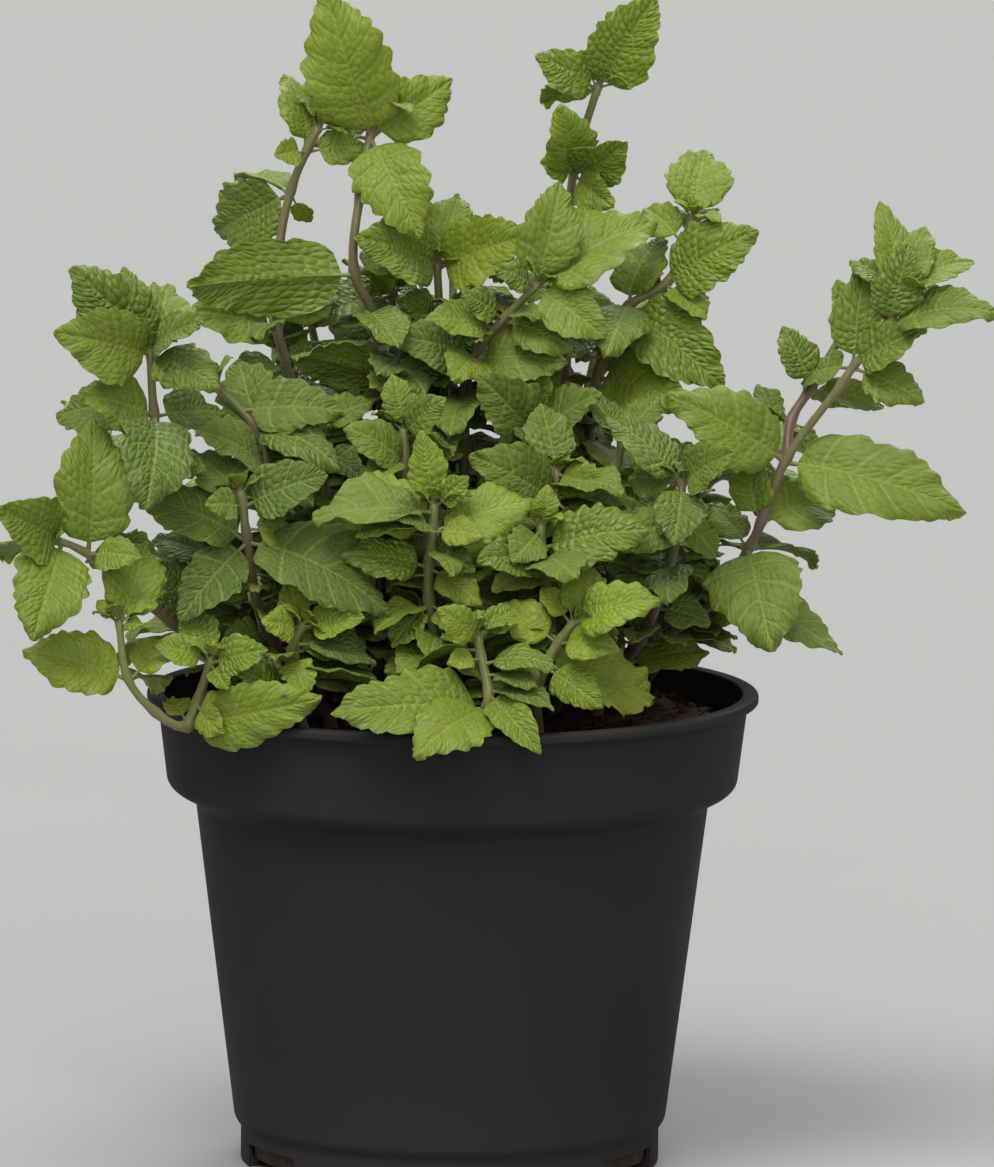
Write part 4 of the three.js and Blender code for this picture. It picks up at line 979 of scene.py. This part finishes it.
def leaf_frame(leaf):
    """Origin, directions and size of a leaf, and where its blade starts. `turn` rolls it, in degrees."""
    chord = leaf["tip"] - leaf["base"]
    length = np.linalg.norm(chord)
    along = chord / length
    facing = unit(leaf["face"] - along * np.dot(leaf["face"], along))
    sideways = np.cross(along, facing)
    if sideways @ UP_AND_RIGHT < 0:
        sideways = -sideways
    angle = math.radians(leaf["turn"])
    normal = facing * math.cos(angle) + sideways * math.sin(angle)
    return dict(base=leaf["base"], along=along, normal=normal, side=np.cross(normal, along), length=length,
                half=length * leaf["breadth"] / 2, bend=leaf["bend"], fold=leaf["fold"],
                start=min(PETIOLE / length, LONGEST_STALK))


def leaf_points(shape, s, across, lift):
    """Points of a leaf. The midrib is an arc of `bend` radians over its chord, and the halves rise by `fold`.

    point = base + along (length/2 + R sin b) + normal R (cos b - cos(bend/2)) + side * across
            + up (|across| fold + lift), with b = bend (s - 1/2), R = length / (2 sin(bend/2)) and
            up = normal cos b + along sin b.
    """
    bend = shape["bend"]
    bow = (bend * (s - 0.5))[..., None]
    radius = shape["length"] / (2 * math.sin(bend / 2))
    up = shape["normal"] * np.cos(bow) + shape["along"] * np.sin(bow)
    spine = shape["along"] * (shape["length"] / 2 + radius * np.sin(bow))
    arch = shape["normal"] * radius * (np.cos(bow) - math.cos(bend / 2))
    rise = (np.abs(across) * shape["fold"] + lift)[..., None]
    return shape["base"] + spine + arch + shape["side"] * across[..., None] + up * rise


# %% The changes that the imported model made
LARGE_LEAF = 24
MEDIUM_LEAF = 13
TOOTH_TIP, TOOTH_ROOM = 0.72, 0.45
LEANS = [0, 3, -3, 6, -6, 9, -9, 13, -13]
ROLLS = [0, 18, -18, 36, -36, 60]
SHRINKS = [1, 0.82, 0.66]
MOVES = [(shrink, lean, roll) for shrink in SHRINKS for lean in LEANS for roll in ROLLS]
SAME_POINT = 0.02
ENOUGH_MARKS = 0.5


def moved(leaf, shrink, lean, roll):
    """The leaf with its tip pushed along the line of sight, drawn towards its base, and its blade rolled."""
    tip = leaf["tip"] - towards_viewer * lean
    tip = leaf["base"] + (tip - leaf["base"]) * shrink
    return dict(leaf, tip=tip, turn=leaf["turn"] + roll)


def marks(leaf):
    """The points by which a packed leaf is known: its tip and the points of its teeth."""
    shape = leaf_frame(leaf)
    teeth = 3 if shape["length"] > LARGE_LEAF else 2 if shape["length"] > MEDIUM_LEAF else 1
    u = (np.arange(teeth) + TOOTH_TIP) / (teeth + TOOTH_ROOM)
    s = shape["start"] + (1 - shape["start"]) * u
    width = shape["half"] * outline(u)
    s = np.concatenate([[1], s, s])
    return leaf_points(shape, s, np.concatenate([[0], width, -width]), np.zeros(len(s)))


def settle(plan):
    """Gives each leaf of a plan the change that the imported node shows, and drops those it doesn't show."""
    corners = node_corners(plan["name"])
    kept = []
    for leaf in plan["leaves"]:
        tries = [moved(leaf, *move) for move in MOVES]
        matches = [(nearest(marks(tried), corners) < SAME_POINT).mean() for tried in tries]
        best = int(np.argmax(matches))
        if matches[best] >= ENOUGH_MARKS:
            kept.append(tries[best])
    plan["leaves"] = kept
    return kept


settled = sum(len(settle(plan)) for plan in plans)
print("leaves found in the packed model:", settled)

# %% [markdown]
# ## The youngest leaves, and leaves in the shade
#
# Two kinds of leaf are too small or too many for the plain solids. At the end of every stem the youngest
# leaves stand close together. And between the stems, where little light comes, darker leaves fill the room.
# The second kind is placed by trial: a leaf is drawn at a random place of a stem, and it is kept if points
# on it are clear of the points on every leaf that is there already, and inside the crown of the plant, which
# is wide at its foot and narrow at its top.

# %% The youngest leaves
YOUNG_LEAVES = 6
YOUNG_LENGTH = 8
YOUNG_TURN_ON = 2.4
YOUNG_SHAPE = dict(breadth=0.72, bend=0.9, fold=0.4)
YOUNGER = 0.25
MOST_ROLL = 25
more = np.random.default_rng(SEED)


def youngest(path, age):
    """Small leaves round the end of a stem. Each is turned on from the last, steeper and shorter."""
    end = path[-1]
    along = unit(end - path[-2])
    side = unit(np.cross(along, towards_viewer))
    front = np.cross(side, along)
    leaves = []
    for k in range(YOUNG_LEAVES):
        angle = YOUNG_TURN_ON * k + more.uniform(0, 0.9)
        out = side * math.cos(angle) + front * math.sin(angle)
        way = unit(along * (0.3 + 0.16 * k) + out * (1 - 0.12 * k))
        tip = end + way * YOUNG_LENGTH * (1 - 0.1 * k) * more.uniform(0.75, 1.15)
        leaves.append(dict(base=end - along * 0.4, tip=tip, turn=more.uniform(-MOST_ROLL, MOST_ROLL),
                           face=along - out * 0.6, age=max(0, age - YOUNGER), plain=True, **YOUNG_SHAPE))
    return leaves


for plan in plans:
    plan["leaves"] += [leaf for path in plan["stems"] for leaf in youngest(path, plan["age"])]
print("leaves with the youngest:", sum(len(plan["leaves"]) for plan in plans))

# %% Leaves in the shade
SHADE_AGES = 0.4, 0.85
SHADE_TRIES = 150
SHADE_LENGTHS = [24, 20, 16, 12]
SHADE_CLEAR = 1.0
CROWN_FOOT, CROWN_TOP = 106, 186
CROWN_WIDE, CROWN_NARROW = 74, 44
NEAR_BASE = 3
SAMPLE_STEP = 2.5


def sampled(leaf):
    """Points spread over the middle surface of a leaf, without those close to its stalk."""
    shape = leaf_frame(leaf)
    s = np.linspace(NEAR_BASE / shape["length"], 1, max(4, int(shape["length"] / SAMPLE_STEP)))[:, None]
    v = np.linspace(-1, 1, 5)[None, :]
    return leaf_points(shape, s + 0 * v, v * shape["half"] * outline(s), 0 * s * v).reshape(-1, 3)


def shade_leaf(stem):
    """A leaf of random length and heading at a random place of a stem, facing upwards and to the front."""
    at = more.uniform(0.8, len(stem) - 1.1)
    low = int(at)
    base = stem[low] + (stem[low + 1] - stem[low]) * (at - low)
    heading = more.uniform(0, FULL_TURN)
    way = unit(np.array([math.cos(heading), math.sin(heading), more.uniform(-0.5, 0.35)]))
    length = SHADE_LENGTHS[int(more.integers(len(SHADE_LENGTHS)))] * more.uniform(0.85, 1.15)
    return dict(base=base, tip=base + way * length, turn=more.uniform(-MOST_ROLL, MOST_ROLL),
                breadth=more.uniform(0.6, 0.76), face=unit(UPWARDS + towards_viewer * more.uniform(0, 1.2)),
                bend=more.uniform(0.4, 1.1), fold=more.uniform(0.15, 0.45), age=more.uniform(*SHADE_AGES),
                plain=True)


def in_crown(points):
    """True if all points are between foot and top of the crown and inside its radius at their height."""
    share = (points[:, 2] - CROWN_FOOT) / (CROWN_TOP - CROWN_FOOT)
    radius = CROWN_WIDE + (CROWN_NARROW - CROWN_WIDE) * share
    return ((share > 0) & (share < 1) & (np.hypot(points[:, 0], points[:, 1]) < radius)).all()


def clear_of(points, taken):
    """True if no taken point is nearer than SHADE_CLEAR to these points. Far ones are left out first."""
    low, high = points.min(axis=0) - SHADE_CLEAR, points.max(axis=0) + SHADE_CLEAR
    near = taken[((taken > low) & (taken < high)).all(axis=1)]
    return len(near) == 0 or nearest(points, near).min() > SHADE_CLEAR


def fill_shade():
    """Tries leaves on every stem and keeps those that are clear. Returns how many were kept."""
    taken = np.concatenate([sampled(leaf) for plan in plans for leaf in plan["leaves"]])
    kept = 0
    for _ in range(SHADE_TRIES):
        for plan in plans:
            leaf = shade_leaf(plan["stems"][int(more.integers(len(plan["stems"])))])
            points = sampled(leaf)
            if in_crown(points) and clear_of(points, taken):
                plan["leaves"].append(leaf)
                taken = np.concatenate([taken, points])
                kept += 1
    return kept


print("leaves in the shade:", fill_shade())

# %% [markdown]
# ## The surface of a leaf
#
# A mint leaf is puckered: the blade swells up between its veins, which are sunk in its upper face and stand
# out on its underside. The margin is toothed, and each tooth leans towards the tip. The rows of the grid
# below follow the side veins, so a few rows are enough to show every swelling, and there are exactly four
# rows to a tooth, or three on the many plain leaves in the shade and at the tips. The blade is a closed
# sheet: each ring runs over the upper face and back along the underside, with a small step at the margin.

# %% The grid and the toothed margin
SIZES = [5, 10, 20, 34]
TEETH = [4, 5, 7, 9]
HALF_COLUMNS = [3, 4, 6, 8]
ROWS_TO_TOOTH, PLAIN_ROWS_TO_TOOTH = 4, 3
PLAIN_COLUMNS = 0.62
TOOTH_PEAK = 0.72
TOOTH_DEPTH = 0.17
TOOTH_DRIFT, UNEVEN = 0.25, 0.06
POINTED = 0.28


def leaf_grid(length, plain):
    """Rows r, from stem to tip, columns v, from -1 to 1 across, and the number of teeth on each margin."""
    teeth = int(round(np.interp(length, SIZES, TEETH)))
    half_columns = np.interp(length, SIZES, HALF_COLUMNS) * (PLAIN_COLUMNS if plain else 1)
    rows_to_tooth = PLAIN_ROWS_TO_TOOTH if plain else ROWS_TO_TOOTH
    r = np.linspace(0, 1, rows_to_tooth * teeth + 1)[1:-1, None]
    return r, np.linspace(-1, 1, 2 * int(round(half_columns)) + 1)[None, :], teeth


def ripple(turns, r, draw, side_shift):
    """sin(2 pi (turns r + a random start) + a shift), a wave along the leaf, not the same on both halves."""
    return np.sin(FULL_TURN * (turns * r + draw.random()) + side_shift)


def toothed_width(half, r, v, slanted, teeth, draw):
    """Half width of each row: the outline, made pointed and uneven, less the gaps between the teeth.

    A tooth rises as a quarter of a sine up to its peak and falls straight. The gaps fade inwards as |v|^5.
    """
    side, out = np.sign(v), np.abs(v)
    phase = (r * teeth + TOOTH_DRIFT * ripple(1.3, r, draw, 1.5 * side)) % 1
    rising = np.sin(phase / TOOTH_PEAK * math.pi / 2)
    tooth = np.where(phase < TOOTH_PEAK, rising, (1 - phase) / (1 - TOOTH_PEAK))
    depth = TOOTH_DEPTH * np.minimum(1, 6 * r) * draw.uniform(0.6, 1.2)
    uneven = 1 + UNEVEN * ripple(1.7, r, draw, side)
    pointed = 1 - POINTED * slanted**5
    return half * outline(slanted) * pointed * uneven * (1 - depth * (1 - tooth) * out**5)


# %% Puckers and waves
VEINS_TO_TOOTH = 0.68
VEIN_DRIFT = 0.14
PUFF = 0.048
RUFFLE = 0.05, 0.12
CRINKLE = 0.045
CURL = 0.22


def puckers(half, r, v, s, teeth, draw):
    """q, which is whole on every side vein, and the swellings |sin(pi q)|^0.8 between the veins.

    A swelling has cells along it, is flat beside the midrib and low at the margin, and varies in patches.
    """
    out = np.abs(v)
    q = VEINS_TO_TOOTH * teeth * r + VEIN_DRIFT * ripple(1.4, r, draw, np.sign(v))
    swelling = np.abs(np.sin(math.pi * q)) ** 0.8
    bubbles = 0.7 + 0.3 * np.abs(np.sin(math.pi * (3.1 * out + 0.5 * np.floor(q) + draw.random())))
    beside_midrib = 1 - np.exp(-((out / 0.2) ** 2))
    patchy = 1 + 0.4 * np.sin(5 * s + 3 * v + 6 * draw.random()) * np.sin(6 * v - 4 * s + 6 * draw.random())
    return q, PUFF * half * swelling * bubbles * beside_midrib * (1 - 0.5 * out**4) * patchy


def margin_waves(half, r, v, teeth, draw):
    """Lift of the margin: a long wave as |v|^2, short crinkles as |v|^3, and a curl downwards as |v|^3."""
    side, out = np.sign(v), np.abs(v)
    ruffle = draw.uniform(*RUFFLE) * half * out**2
    wave = ruffle * ripple(draw.uniform(1.2, 2.4), r, draw, 1.7 * side)
    crinkle = CRINKLE * half * out**3 * ripple(0.55 * teeth, r, draw, 2 * side)
    return wave + crinkle - draw.uniform(0.0, CURL) * half * out**3


# %% The blade
SLANT = 0.2
THICKNESS = 0.34
RIB, RIB_TIP = 0.5, 0.08
UV_SIZE = 10


def blade(leaf, draw):
    """The closed sheet of one leaf.

    With r along the leaf and v across it, a point lies at r + SLANT sin(pi r) |v|^1.2 of the blade's length,
    so that a row runs forward like a side vein. Its distance from the midrib is v times the half width of
    its row. Its lift is the sum of the swellings, the waves of the margin and a rounding of the fold. The
    two faces lie half a thickness above and below it, and the lower one has a rib under the midrib.
    """
    shape = leaf_frame(leaf)
    length, half, start = shape["length"], shape["half"], shape["start"]
    r, v, teeth = leaf_grid(length, leaf.get("plain", False))
    out = np.abs(v)
    slant = SLANT * np.sin(math.pi * r)
    s = start + (1 - start) * (r + slant * out**1.2)
    width = toothed_width(half, r, v, r + slant, teeth, draw)
    q, puff = puckers(half, r, v, s, teeth, draw)
    waves = margin_waves(half, r, v, teeth, draw)
    softened = shape["fold"] * (np.sqrt(out**2 + 0.01) - 0.1 - out) * width
    lift = puff + waves + softened

    sheet = THICKNESS * (1 - 0.3 * out**4) * np.minimum(1, 0.45 + half / 12)
    rib = np.where(out < 1e-6, RIB * min(1, half / 6) * (1 - r) + RIB_TIP, 0)
    upper = leaf_points(shape, s, v * width, lift + sheet / 2)
    under = leaf_points(shape, s, v * width, lift - sheet / 2 - rib)
    rings = np.concatenate([upper, under[:, ::-1]], axis=1)
    first, last = leaf_points(shape, np.array([start, 1.0]), np.zeros(2), np.zeros(2))

    def both_faces(values):
        """A field of the grid, for the ring over both faces, with the two end points put in."""
        values = np.broadcast_to(values, s.shape)
        ring = np.concatenate([values, values[:, ::-1]], axis=1)
        middle = v.size // 2
        return np.concatenate([[values[0, middle]], ring.ravel(), [values[-1, middle]]])

    face = np.concatenate([np.ones(s.shape), np.zeros(s.shape)], axis=1)
    offset = draw.uniform(0, 50, 2)
    place = np.stack([both_faces(v * width) + offset[0], both_faces(s * length) + offset[1]], axis=-1)
    return skin(
        rings, first, last,
        uv=place / UV_SIZE,
        side_veins=both_faces(q),
        from_midrib=both_faces(v * width),
        from_margin=both_faces((1 - out) * width),
        upper_face=np.concatenate([[0.5], face.ravel(), [0.5]]),
        age=both_faces(leaf["age"]),
        tone=both_faces(draw.random()),
    )


# %% [markdown]
# ## Stems and leaf stalks
#
# Mint stems have four sides with rounded edges. They thicken a little at each knot, where a pair of leaves
# joins. A stem is a tube along a smooth curve through its knots (a Catmull-Rom spline), and its section is a
# squircle, |x|^4 + |y|^4 = 1. A leaf stalk is a short thin tube with a round section, |x|^2 + |y|^2 = 1.

# %% Tubes
FLAT_REACH = 0.82
TIP_DOME = 0.7


def smooth_path(points, step):
    """A Catmull-Rom curve through the points, one point for each `step` of length.

    Between b and c, with neighbours a and d, it is
    b + t (c - a)/2 + t^2 (a - 2.5 b + 2 c - d/2) + t^3 (3 b - 3 c + d - a)/2.
    """
    padded = np.vstack([2 * points[0] - points[1], points, 2 * points[-1] - points[-2]])
    pieces = []
    for a, b, c, d in zip(padded, padded[1:], padded[2:], padded[3:]):
        count = max(2, int(np.linalg.norm(c - b) / step))
        t = np.linspace(0, 1, count, endpoint=False)[:, None]
        pieces.append(b + t * (c - a) / 2 + t**2 * (a - 2.5 * b + 2 * c - d / 2)
                      + t**3 * (3 * b - 3 * c + d - a) / 2)
    return np.vstack(pieces + [points[-1:]])


def tube(path, radius, sides, corner=4.0, **fields):
    """A closed tube. Its section is |x|^corner + |y|^corner = 1, a little smaller and an eighth turned."""
    ahead_of = unit(np.gradient(path, axis=0))
    side = [unit(np.cross(np.cross(ahead_of[0], (1.0, 0, 0)), ahead_of[0]))]
    for direction in ahead_of[1:]:
        side.append(unit(side[-1] - direction * (side[-1] @ direction)))
    side = np.array(side)
    other = np.cross(ahead_of, side)
    angle = np.linspace(0, FULL_TURN, sides, endpoint=False)
    flat = angle + math.pi / 4
    reach = FLAT_REACH * (np.abs(np.cos(flat)) ** corner + np.abs(np.sin(flat)) ** corner) ** (-1 / corner)
    to_side, to_other = (reach * np.cos(angle))[:, None], (reach * np.sin(angle))[:, None]
    section = side[:, None] * to_side + other[:, None] * to_other
    rings = path[:, None] + section * radius[:, None, None]
    spread = {}
    for name, values in fields.items():
        values = np.broadcast_to(values, len(path))
        spread[name] = np.concatenate([values[:1], np.repeat(values, sides), values[-1:]])
    tip = path[-1] + ahead_of[-1] * radius[-1] * TIP_DOME
    return skin(rings, path[0], tip, **spread)


# %% Stems and stalks
STEM_SIDES, STALK_SIDES = 12, 7
STEM_STEP = 2.2
BRANCH_FOOT = 1.1
STEM_TOP = 0.85
KNOT_SWELL, KNOT_REACH = 0.33, 1.5
STALK_ROWS = 7
STALK_FOOT, STALK_TOP = 0.78, 0.3
STALK_SUNK = 0.28


def stem_skin(path, foot_radius, length_of_foot, brown):
    """A stem that tapers from its foot to its top, with a swelling of one third at every knot.

    It is as brown as brown (1.15 - share^2) says, where the share is how far up the stem a point lies, and
    a quarter browner at a knot.
    """
    line = smooth_path(path, STEM_STEP)
    walked = np.concatenate([[0], np.cumsum(np.linalg.norm(np.diff(line, axis=0), axis=1))])
    share = walked / walked[-1]
    radius = foot_radius + (STEM_TOP - foot_radius) * share
    knots = path[length_of_foot:]
    swell = np.exp(-(nearest(line, knots) / KNOT_REACH) ** 2)
    return tube(line, radius * (1 + KNOT_SWELL * swell), STEM_SIDES,
                brown=np.clip(brown * (1.15 - share**2) + 0.25 * swell * brown, 0, 1), knot=swell)


def stalk_skin(leaf, brown):
    """The stalk of a leaf: from inside the stem to a little way under the blade, along the leaf's own arc."""
    shape = leaf_frame(leaf)
    s = np.linspace(0, shape["start"] + 0.1, STALK_ROWS)
    size = min(1, 0.35 + shape["half"] / 12)
    line = leaf_points(shape, s, 0 * s, 0 * s - STALK_SUNK * size)
    radius = np.linspace(STALK_FOOT, STALK_TOP, STALK_ROWS) * size
    return tube(line, radius, STALK_SIDES, corner=2.0, brown=brown, knot=0.0)


# %% [markdown]
# ## The finish of a leaf
#
# The colour of a leaf comes from its age, with paler veins and a paler underside, and light and shade are
# painted into it: soft patches of painted shadow and painted light, a painted sheen on the top of each small
# dome, and painted shade in the creases along the side veins. The veins are drawn from numbers that the mesh
# carries: q is whole on every side vein, and the distance from the midrib is in millimetres, so the lines
# stay sharp at any distance. The finest net of veins is a Voronoi pattern laid out by the same two numbers,
# so its cells stand in rows between the side veins, each a small dome. Only the patches of painted shadow
# and painted light lie on the leaf by its own UV map. A little subsurface scattering lets light glow through.

# %% The leaf material
YOUNG_GREENS = (0.225, 0.285, 0.014, 1), (0.165, 0.235, 0.014, 1)
OLD_GREENS = (0.088, 0.126, 0.014, 1), (0.060, 0.098, 0.017, 1)
VEIN_GREEN = (0.25, 0.31, 0.05, 1)
MARGIN_GREEN = (0.17, 0.2, 0.03, 1)
UNDER_GREEN = (0.16, 0.205, 0.022, 1)
# Tints for soft patches of painted shadow and of painted light on each leaf.
PAINTED_SHADOW_TINT, PAINTED_LIGHT_TINT = (0.66, 0.74, 0.6, 1), (1.3, 1.25, 1.3, 1)
# Tints for a painted sheen on the dome tops and for painted shade in the creases by the side veins.
PAINTED_SHEEN_TINT, PAINTED_CREASE_SHADE = (1.35, 1.3, 1.6, 1), (0.62, 0.72, 0.55, 1)
CELL = 1.5
CELLS_TO_VEIN = 3.0


def line(tree, distance, inner, outer, strength=1.0):
    """`strength` on a line and 0 away from it, with a soft edge between two distances."""
    return ramp(tree, distance, inner, outer, strength, 0.0)


def cells(tree, place, feature):
    """Irregular cells of about one unit: the distance from their middle, or to their edge."""
    return wire(tree, "TexVoronoi", {"Vector": place, "Scale": 1.0, "Randomness": 0.75}, feature=feature,
                voronoi_dimensions="2D").outputs["Distance"]


def leaf_material():
    """Green, quilted and softly glossy, from young to old by the age that each leaf carries, with painted
    shadow, light and sheen in its colour.
    """
    material, tree, shader = new_material("mint_leaf")
    age, tone, upper = field(tree, "age"), field(tree, "tone"), field(tree, "upper_face")
    side_vein, from_midrib = field(tree, "side_veins"), field(tree, "from_midrib")
    from_vein = maths(tree, "PINGPONG", side_vein, 0.5)

    along_veins = wire(tree, "CombineXYZ", {
        "X": maths(tree, "MULTIPLY_ADD", side_vein, CELLS_TO_VEIN, maths(tree, "MULTIPLY", tone, 40.0)),
        "Y": maths(tree, "DIVIDE", from_midrib, CELL),
    }).outputs[0]
    net = cells(tree, along_veins, "DISTANCE_TO_EDGE")
    middle = cells(tree, along_veins, "F1")
    veins = line(tree, maths(tree, "ABSOLUTE", from_midrib), 0.12, 0.5)
    for finer in (line(tree, from_vein, 0.01, 0.1), line(tree, net, 0.0, 0.14, 0.45)):
        veins = maths(tree, "MAXIMUM", veins, finer)

    plan_of_leaf = wire(tree, "UVMap", uv_map="UVMap").outputs["UV"]
    patches = noise(tree, 1.6, 2, plan_of_leaf)
    cloud = noise(tree, 5.0, 2, plan_of_leaf)
    colour = blend(tree, age, blend(tree, tone, *YOUNG_GREENS), blend(tree, tone, *OLD_GREENS))
    # Painted shadow darkens the green in soft patches, and painted light makes it paler in others.
    colour = blend(tree, ramp(tree, patches, 0.35, 0.7, 0.0, 0.4), colour, PAINTED_SHADOW_TINT, "MULTIPLY")
    colour = blend(tree, ramp(tree, cloud, 0.5, 0.8, 0.0, 0.35), colour, PAINTED_LIGHT_TINT, "MULTIPLY")
    # A painted sheen: the top of each small dome is made paler and bluer.
    colour = blend(tree, line(tree, middle, 0.15, 0.6, 0.22), colour, PAINTED_SHEEN_TINT, "MULTIPLY")
    colour = blend(tree, line(tree, field(tree, "from_margin"), 0.1, 0.8, 0.25), colour, MARGIN_GREEN)
    # Painted shade: the creases along the side veins are made darker.
    colour = blend(tree, line(tree, from_vein, 0.08, 0.3, 0.3), colour, PAINTED_CREASE_SHADE, "MULTIPLY")
    colour = blend(tree, maths(tree, "MULTIPLY", veins, 0.42), colour, VEIN_GREEN)
    colour = blend(tree, upper, blend(tree, 0.45, colour, UNDER_GREEN), colour)

    domes = maths(tree, "SUBTRACT", ramp(tree, net, 0.0, 0.5), maths(tree, "MULTIPLY", middle, middle))
    relief = maths(tree, "SUBTRACT", domes, maths(tree, "MULTIPLY", veins, 0.5))
    relief = maths(tree, "MULTIPLY_ADD", cloud, 0.7, relief)
    relief = maths(tree, "MULTIPLY", relief, ramp(tree, tone, 0.3, 0.9, 0.42, 0.85))
    gloss = ramp(tree, tone, 0.6, 0.95, 0.54, 0.42)
    dulled = maths(tree, "ADD", gloss, ramp(tree, age, 0.5, 0.9, 0.0, 0.2))
    connect(tree, shader, {
        "Base Color": colour,
        "Roughness": maths(tree, "ADD", dulled, ramp(tree, patches, 0.35, 0.65, -0.04, 0.06)),
        "Specular IOR Level": 0.38,
        "Normal": bump(tree, relief, 0.0003, 0.9),
        "Subsurface Weight": 0.22,
        "Subsurface Radius": (1.0, 1.2, 0.1),
        "Subsurface Scale": 0.0012,
        "Sheen Weight": 0.05,
        "Sheen Roughness": 0.4,
    })
    return material


# %% The stem material
STEM_GREENS = (0.13, 0.155, 0.03, 1), (0.20, 0.22, 0.055, 1)
STEM_PURPLES = (0.090, 0.042, 0.036, 1), (0.185, 0.100, 0.076, 1)
KNOT_COLOUR = (0.16, 0.15, 0.06, 1)
STREAK_STRETCH = (1, 1, 0.18)


def stem_material():
    """Green to brown purple by the number that the mesh carries, with fine streaks along the stem."""
    material, tree, shader = new_material("mint_stem")
    inputs = {"Vector": own_place(tree), "Scale": STREAK_STRETCH}
    stretched = wire(tree, "Mapping", inputs).outputs["Vector"]
    streaks = noise(tree, 900, 3, stretched)
    patches = noise(tree, 120, 3)
    shift = ramp(tree, patches, 0.3, 0.7, -0.18, 0.18)
    brown = maths(tree, "ADD", field(tree, "brown"), shift, clamp=True)
    colour = blend(tree, brown, blend(tree, streaks, *STEM_GREENS), blend(tree, streaks, *STEM_PURPLES))
    colour = blend(tree, maths(tree, "MULTIPLY", field(tree, "knot"), 0.3), colour, KNOT_COLOUR)
    connect(tree, shader, {
        "Base Color": colour,
        "Roughness": ramp(tree, streaks, 0.3, 0.7, 0.42, 0.58),
        "Normal": bump(tree, streaks, 0.00012, 0.8),
        "Sheen Weight": 0.15,
        "Sheen Roughness": 0.5,
    })
    return material


# %% [markdown]
# ## Making the shoots
#
# Each shoot becomes two pieces: its stems with the leaf stalks, and its blades. The two differ in colour and
# gloss, so each has its own material, and both take the place of the one plain solid of that shoot.

# %% The pieces of every shoot
BLADE_SEEDS = 100
STALK_BROWN = 0.3
leaf_green = leaf_material()
stem_finish = stem_material()
leaf_faces = stem_faces = 0
for number, plan in enumerate(plans):
    draw = np.random.default_rng(BLADE_SEEDS + number)
    name, brown = plan["name"], plan["brown"]
    stems = [
        stem_skin(path, BRANCH_FOOT if k else STEM_FOOT, 0 if k else 2, brown)
        for k, path in enumerate(plan["stems"])
    ]
    stalks = [stalk_skin(leaf, STALK_BROWN * brown) for leaf in plan["leaves"]]
    stem = make_piece(name + "_stem", stems + stalks, stem_finish, [name], crease=70)
    blades = [blade(leaf, draw) for leaf in plan["leaves"]]
    foliage = make_piece(name + "_leaves", blades, leaf_green, [name], crease=60)
    stem_faces += len(stem.data.polygons)
    leaf_faces += len(foliage.data.polygons)
print("stems:", stem_faces, "faces; leaves:", leaf_faces, "faces")

# %% [markdown]
# ## Floor, light and camera
#
# The plant stands on a wide sheet of pale paper. A soft light above and in front gives the broad sheen on the
# leaves, a weaker and lower one fills the shade from the front, and a third from behind lights the edges of
# the leaves. All three are far away, like a sun behind thin cloud, so the paper is lit evenly. The sky is
# bright overhead and dim near the horizon, as in a room lit by its ceiling, so a leaf's upper face is lighter
# than the side of the pot.

# %% The studio
FLOOR_SIZE = 20.0
DIM_SKY, BRIGHT_SKY = 0.08, 0.75
SKY_COLOUR = (1.0, 1.0, 0.97, 1)
PAPER_TONES = (0.29, 0.29, 0.285, 1), (0.31, 0.31, 0.305, 1)


def paper_material():
    """Pale grey matt paper with a hardly visible mottling."""
    material, tree, shader = new_material("paper")
    mottle = noise(tree, 6, 3)
    connect(tree, shader, {
        "Base Color": blend(tree, mottle, *PAPER_TONES),
        "Roughness": 0.9,
    })
    return material


far = FLOOR_SIZE / 2
sheet_corners = [(-far, -far, 0), (far, -far, 0), (far, far, 0), (-far, far, 0)]
sheet_mesh = bpy.data.meshes.new("floor")
sheet_mesh.from_pydata(sheet_corners, [], [(0, 1, 2, 3)])
sheet_mesh.materials.append(paper_material())
paper_floor = placed("floor", sheet_mesh)


def pose(right, up, back, place):
    """The matrix whose columns are three directions and a place."""
    return Matrix([*np.column_stack([right, up, back, place]).tolist(), (0, 0, 0, 1)])


def soft_light(name, towards, width, strength):
    """A far light in a direction, as seen from the plant. Its width is an angle in degrees."""
    lamp = bpy.data.lights.new(name, "SUN")
    lamp.angle = math.radians(width)
    lamp.energy = strength
    back = unit(np.array(towards, float))
    right = unit(np.cross(UPWARDS, back))
    placed(name, lamp).matrix_world = pose(right, np.cross(back, right), back, back)


soft_light("key", (-0.3, -0.65, 1.3), 32, 2.5)
soft_light("fill", (0.15, -1.0, 0.45), 40, 0.85)
soft_light("edge", (0.25, 0.8, 0.9), 30, 1.4)

world = bpy.data.worlds.new("studio")
world.use_nodes = True
sky = world.node_tree
upwards = wire(sky, "SeparateXYZ", {"Vector": wire(sky, "TexCoord").outputs["Generated"]}).outputs["Z"]
connect(sky, sky.nodes["Background"], {
    "Color": SKY_COLOUR,
    "Strength": ramp(sky, upwards, 0.0, 0.9, DIM_SKY, BRIGHT_SKY),
})
bpy.context.scene.world = world
bpy.context.scene.view_settings.view_transform = "Standard"

# %% The camera
lens = bpy.data.cameras.new("camera")
lens.sensor_fit = "VERTICAL"
lens.angle_y = 2 * math.atan(VIEW_HEIGHT * VIEW_SCALE / 2 / VIEW_DISTANCE)
lens.clip_end = FLOOR_SIZE
camera = placed("camera", lens)
camera.matrix_world = pose(view_right, view_up, towards_viewer, eye * MM)
bpy.context.scene.camera = camera
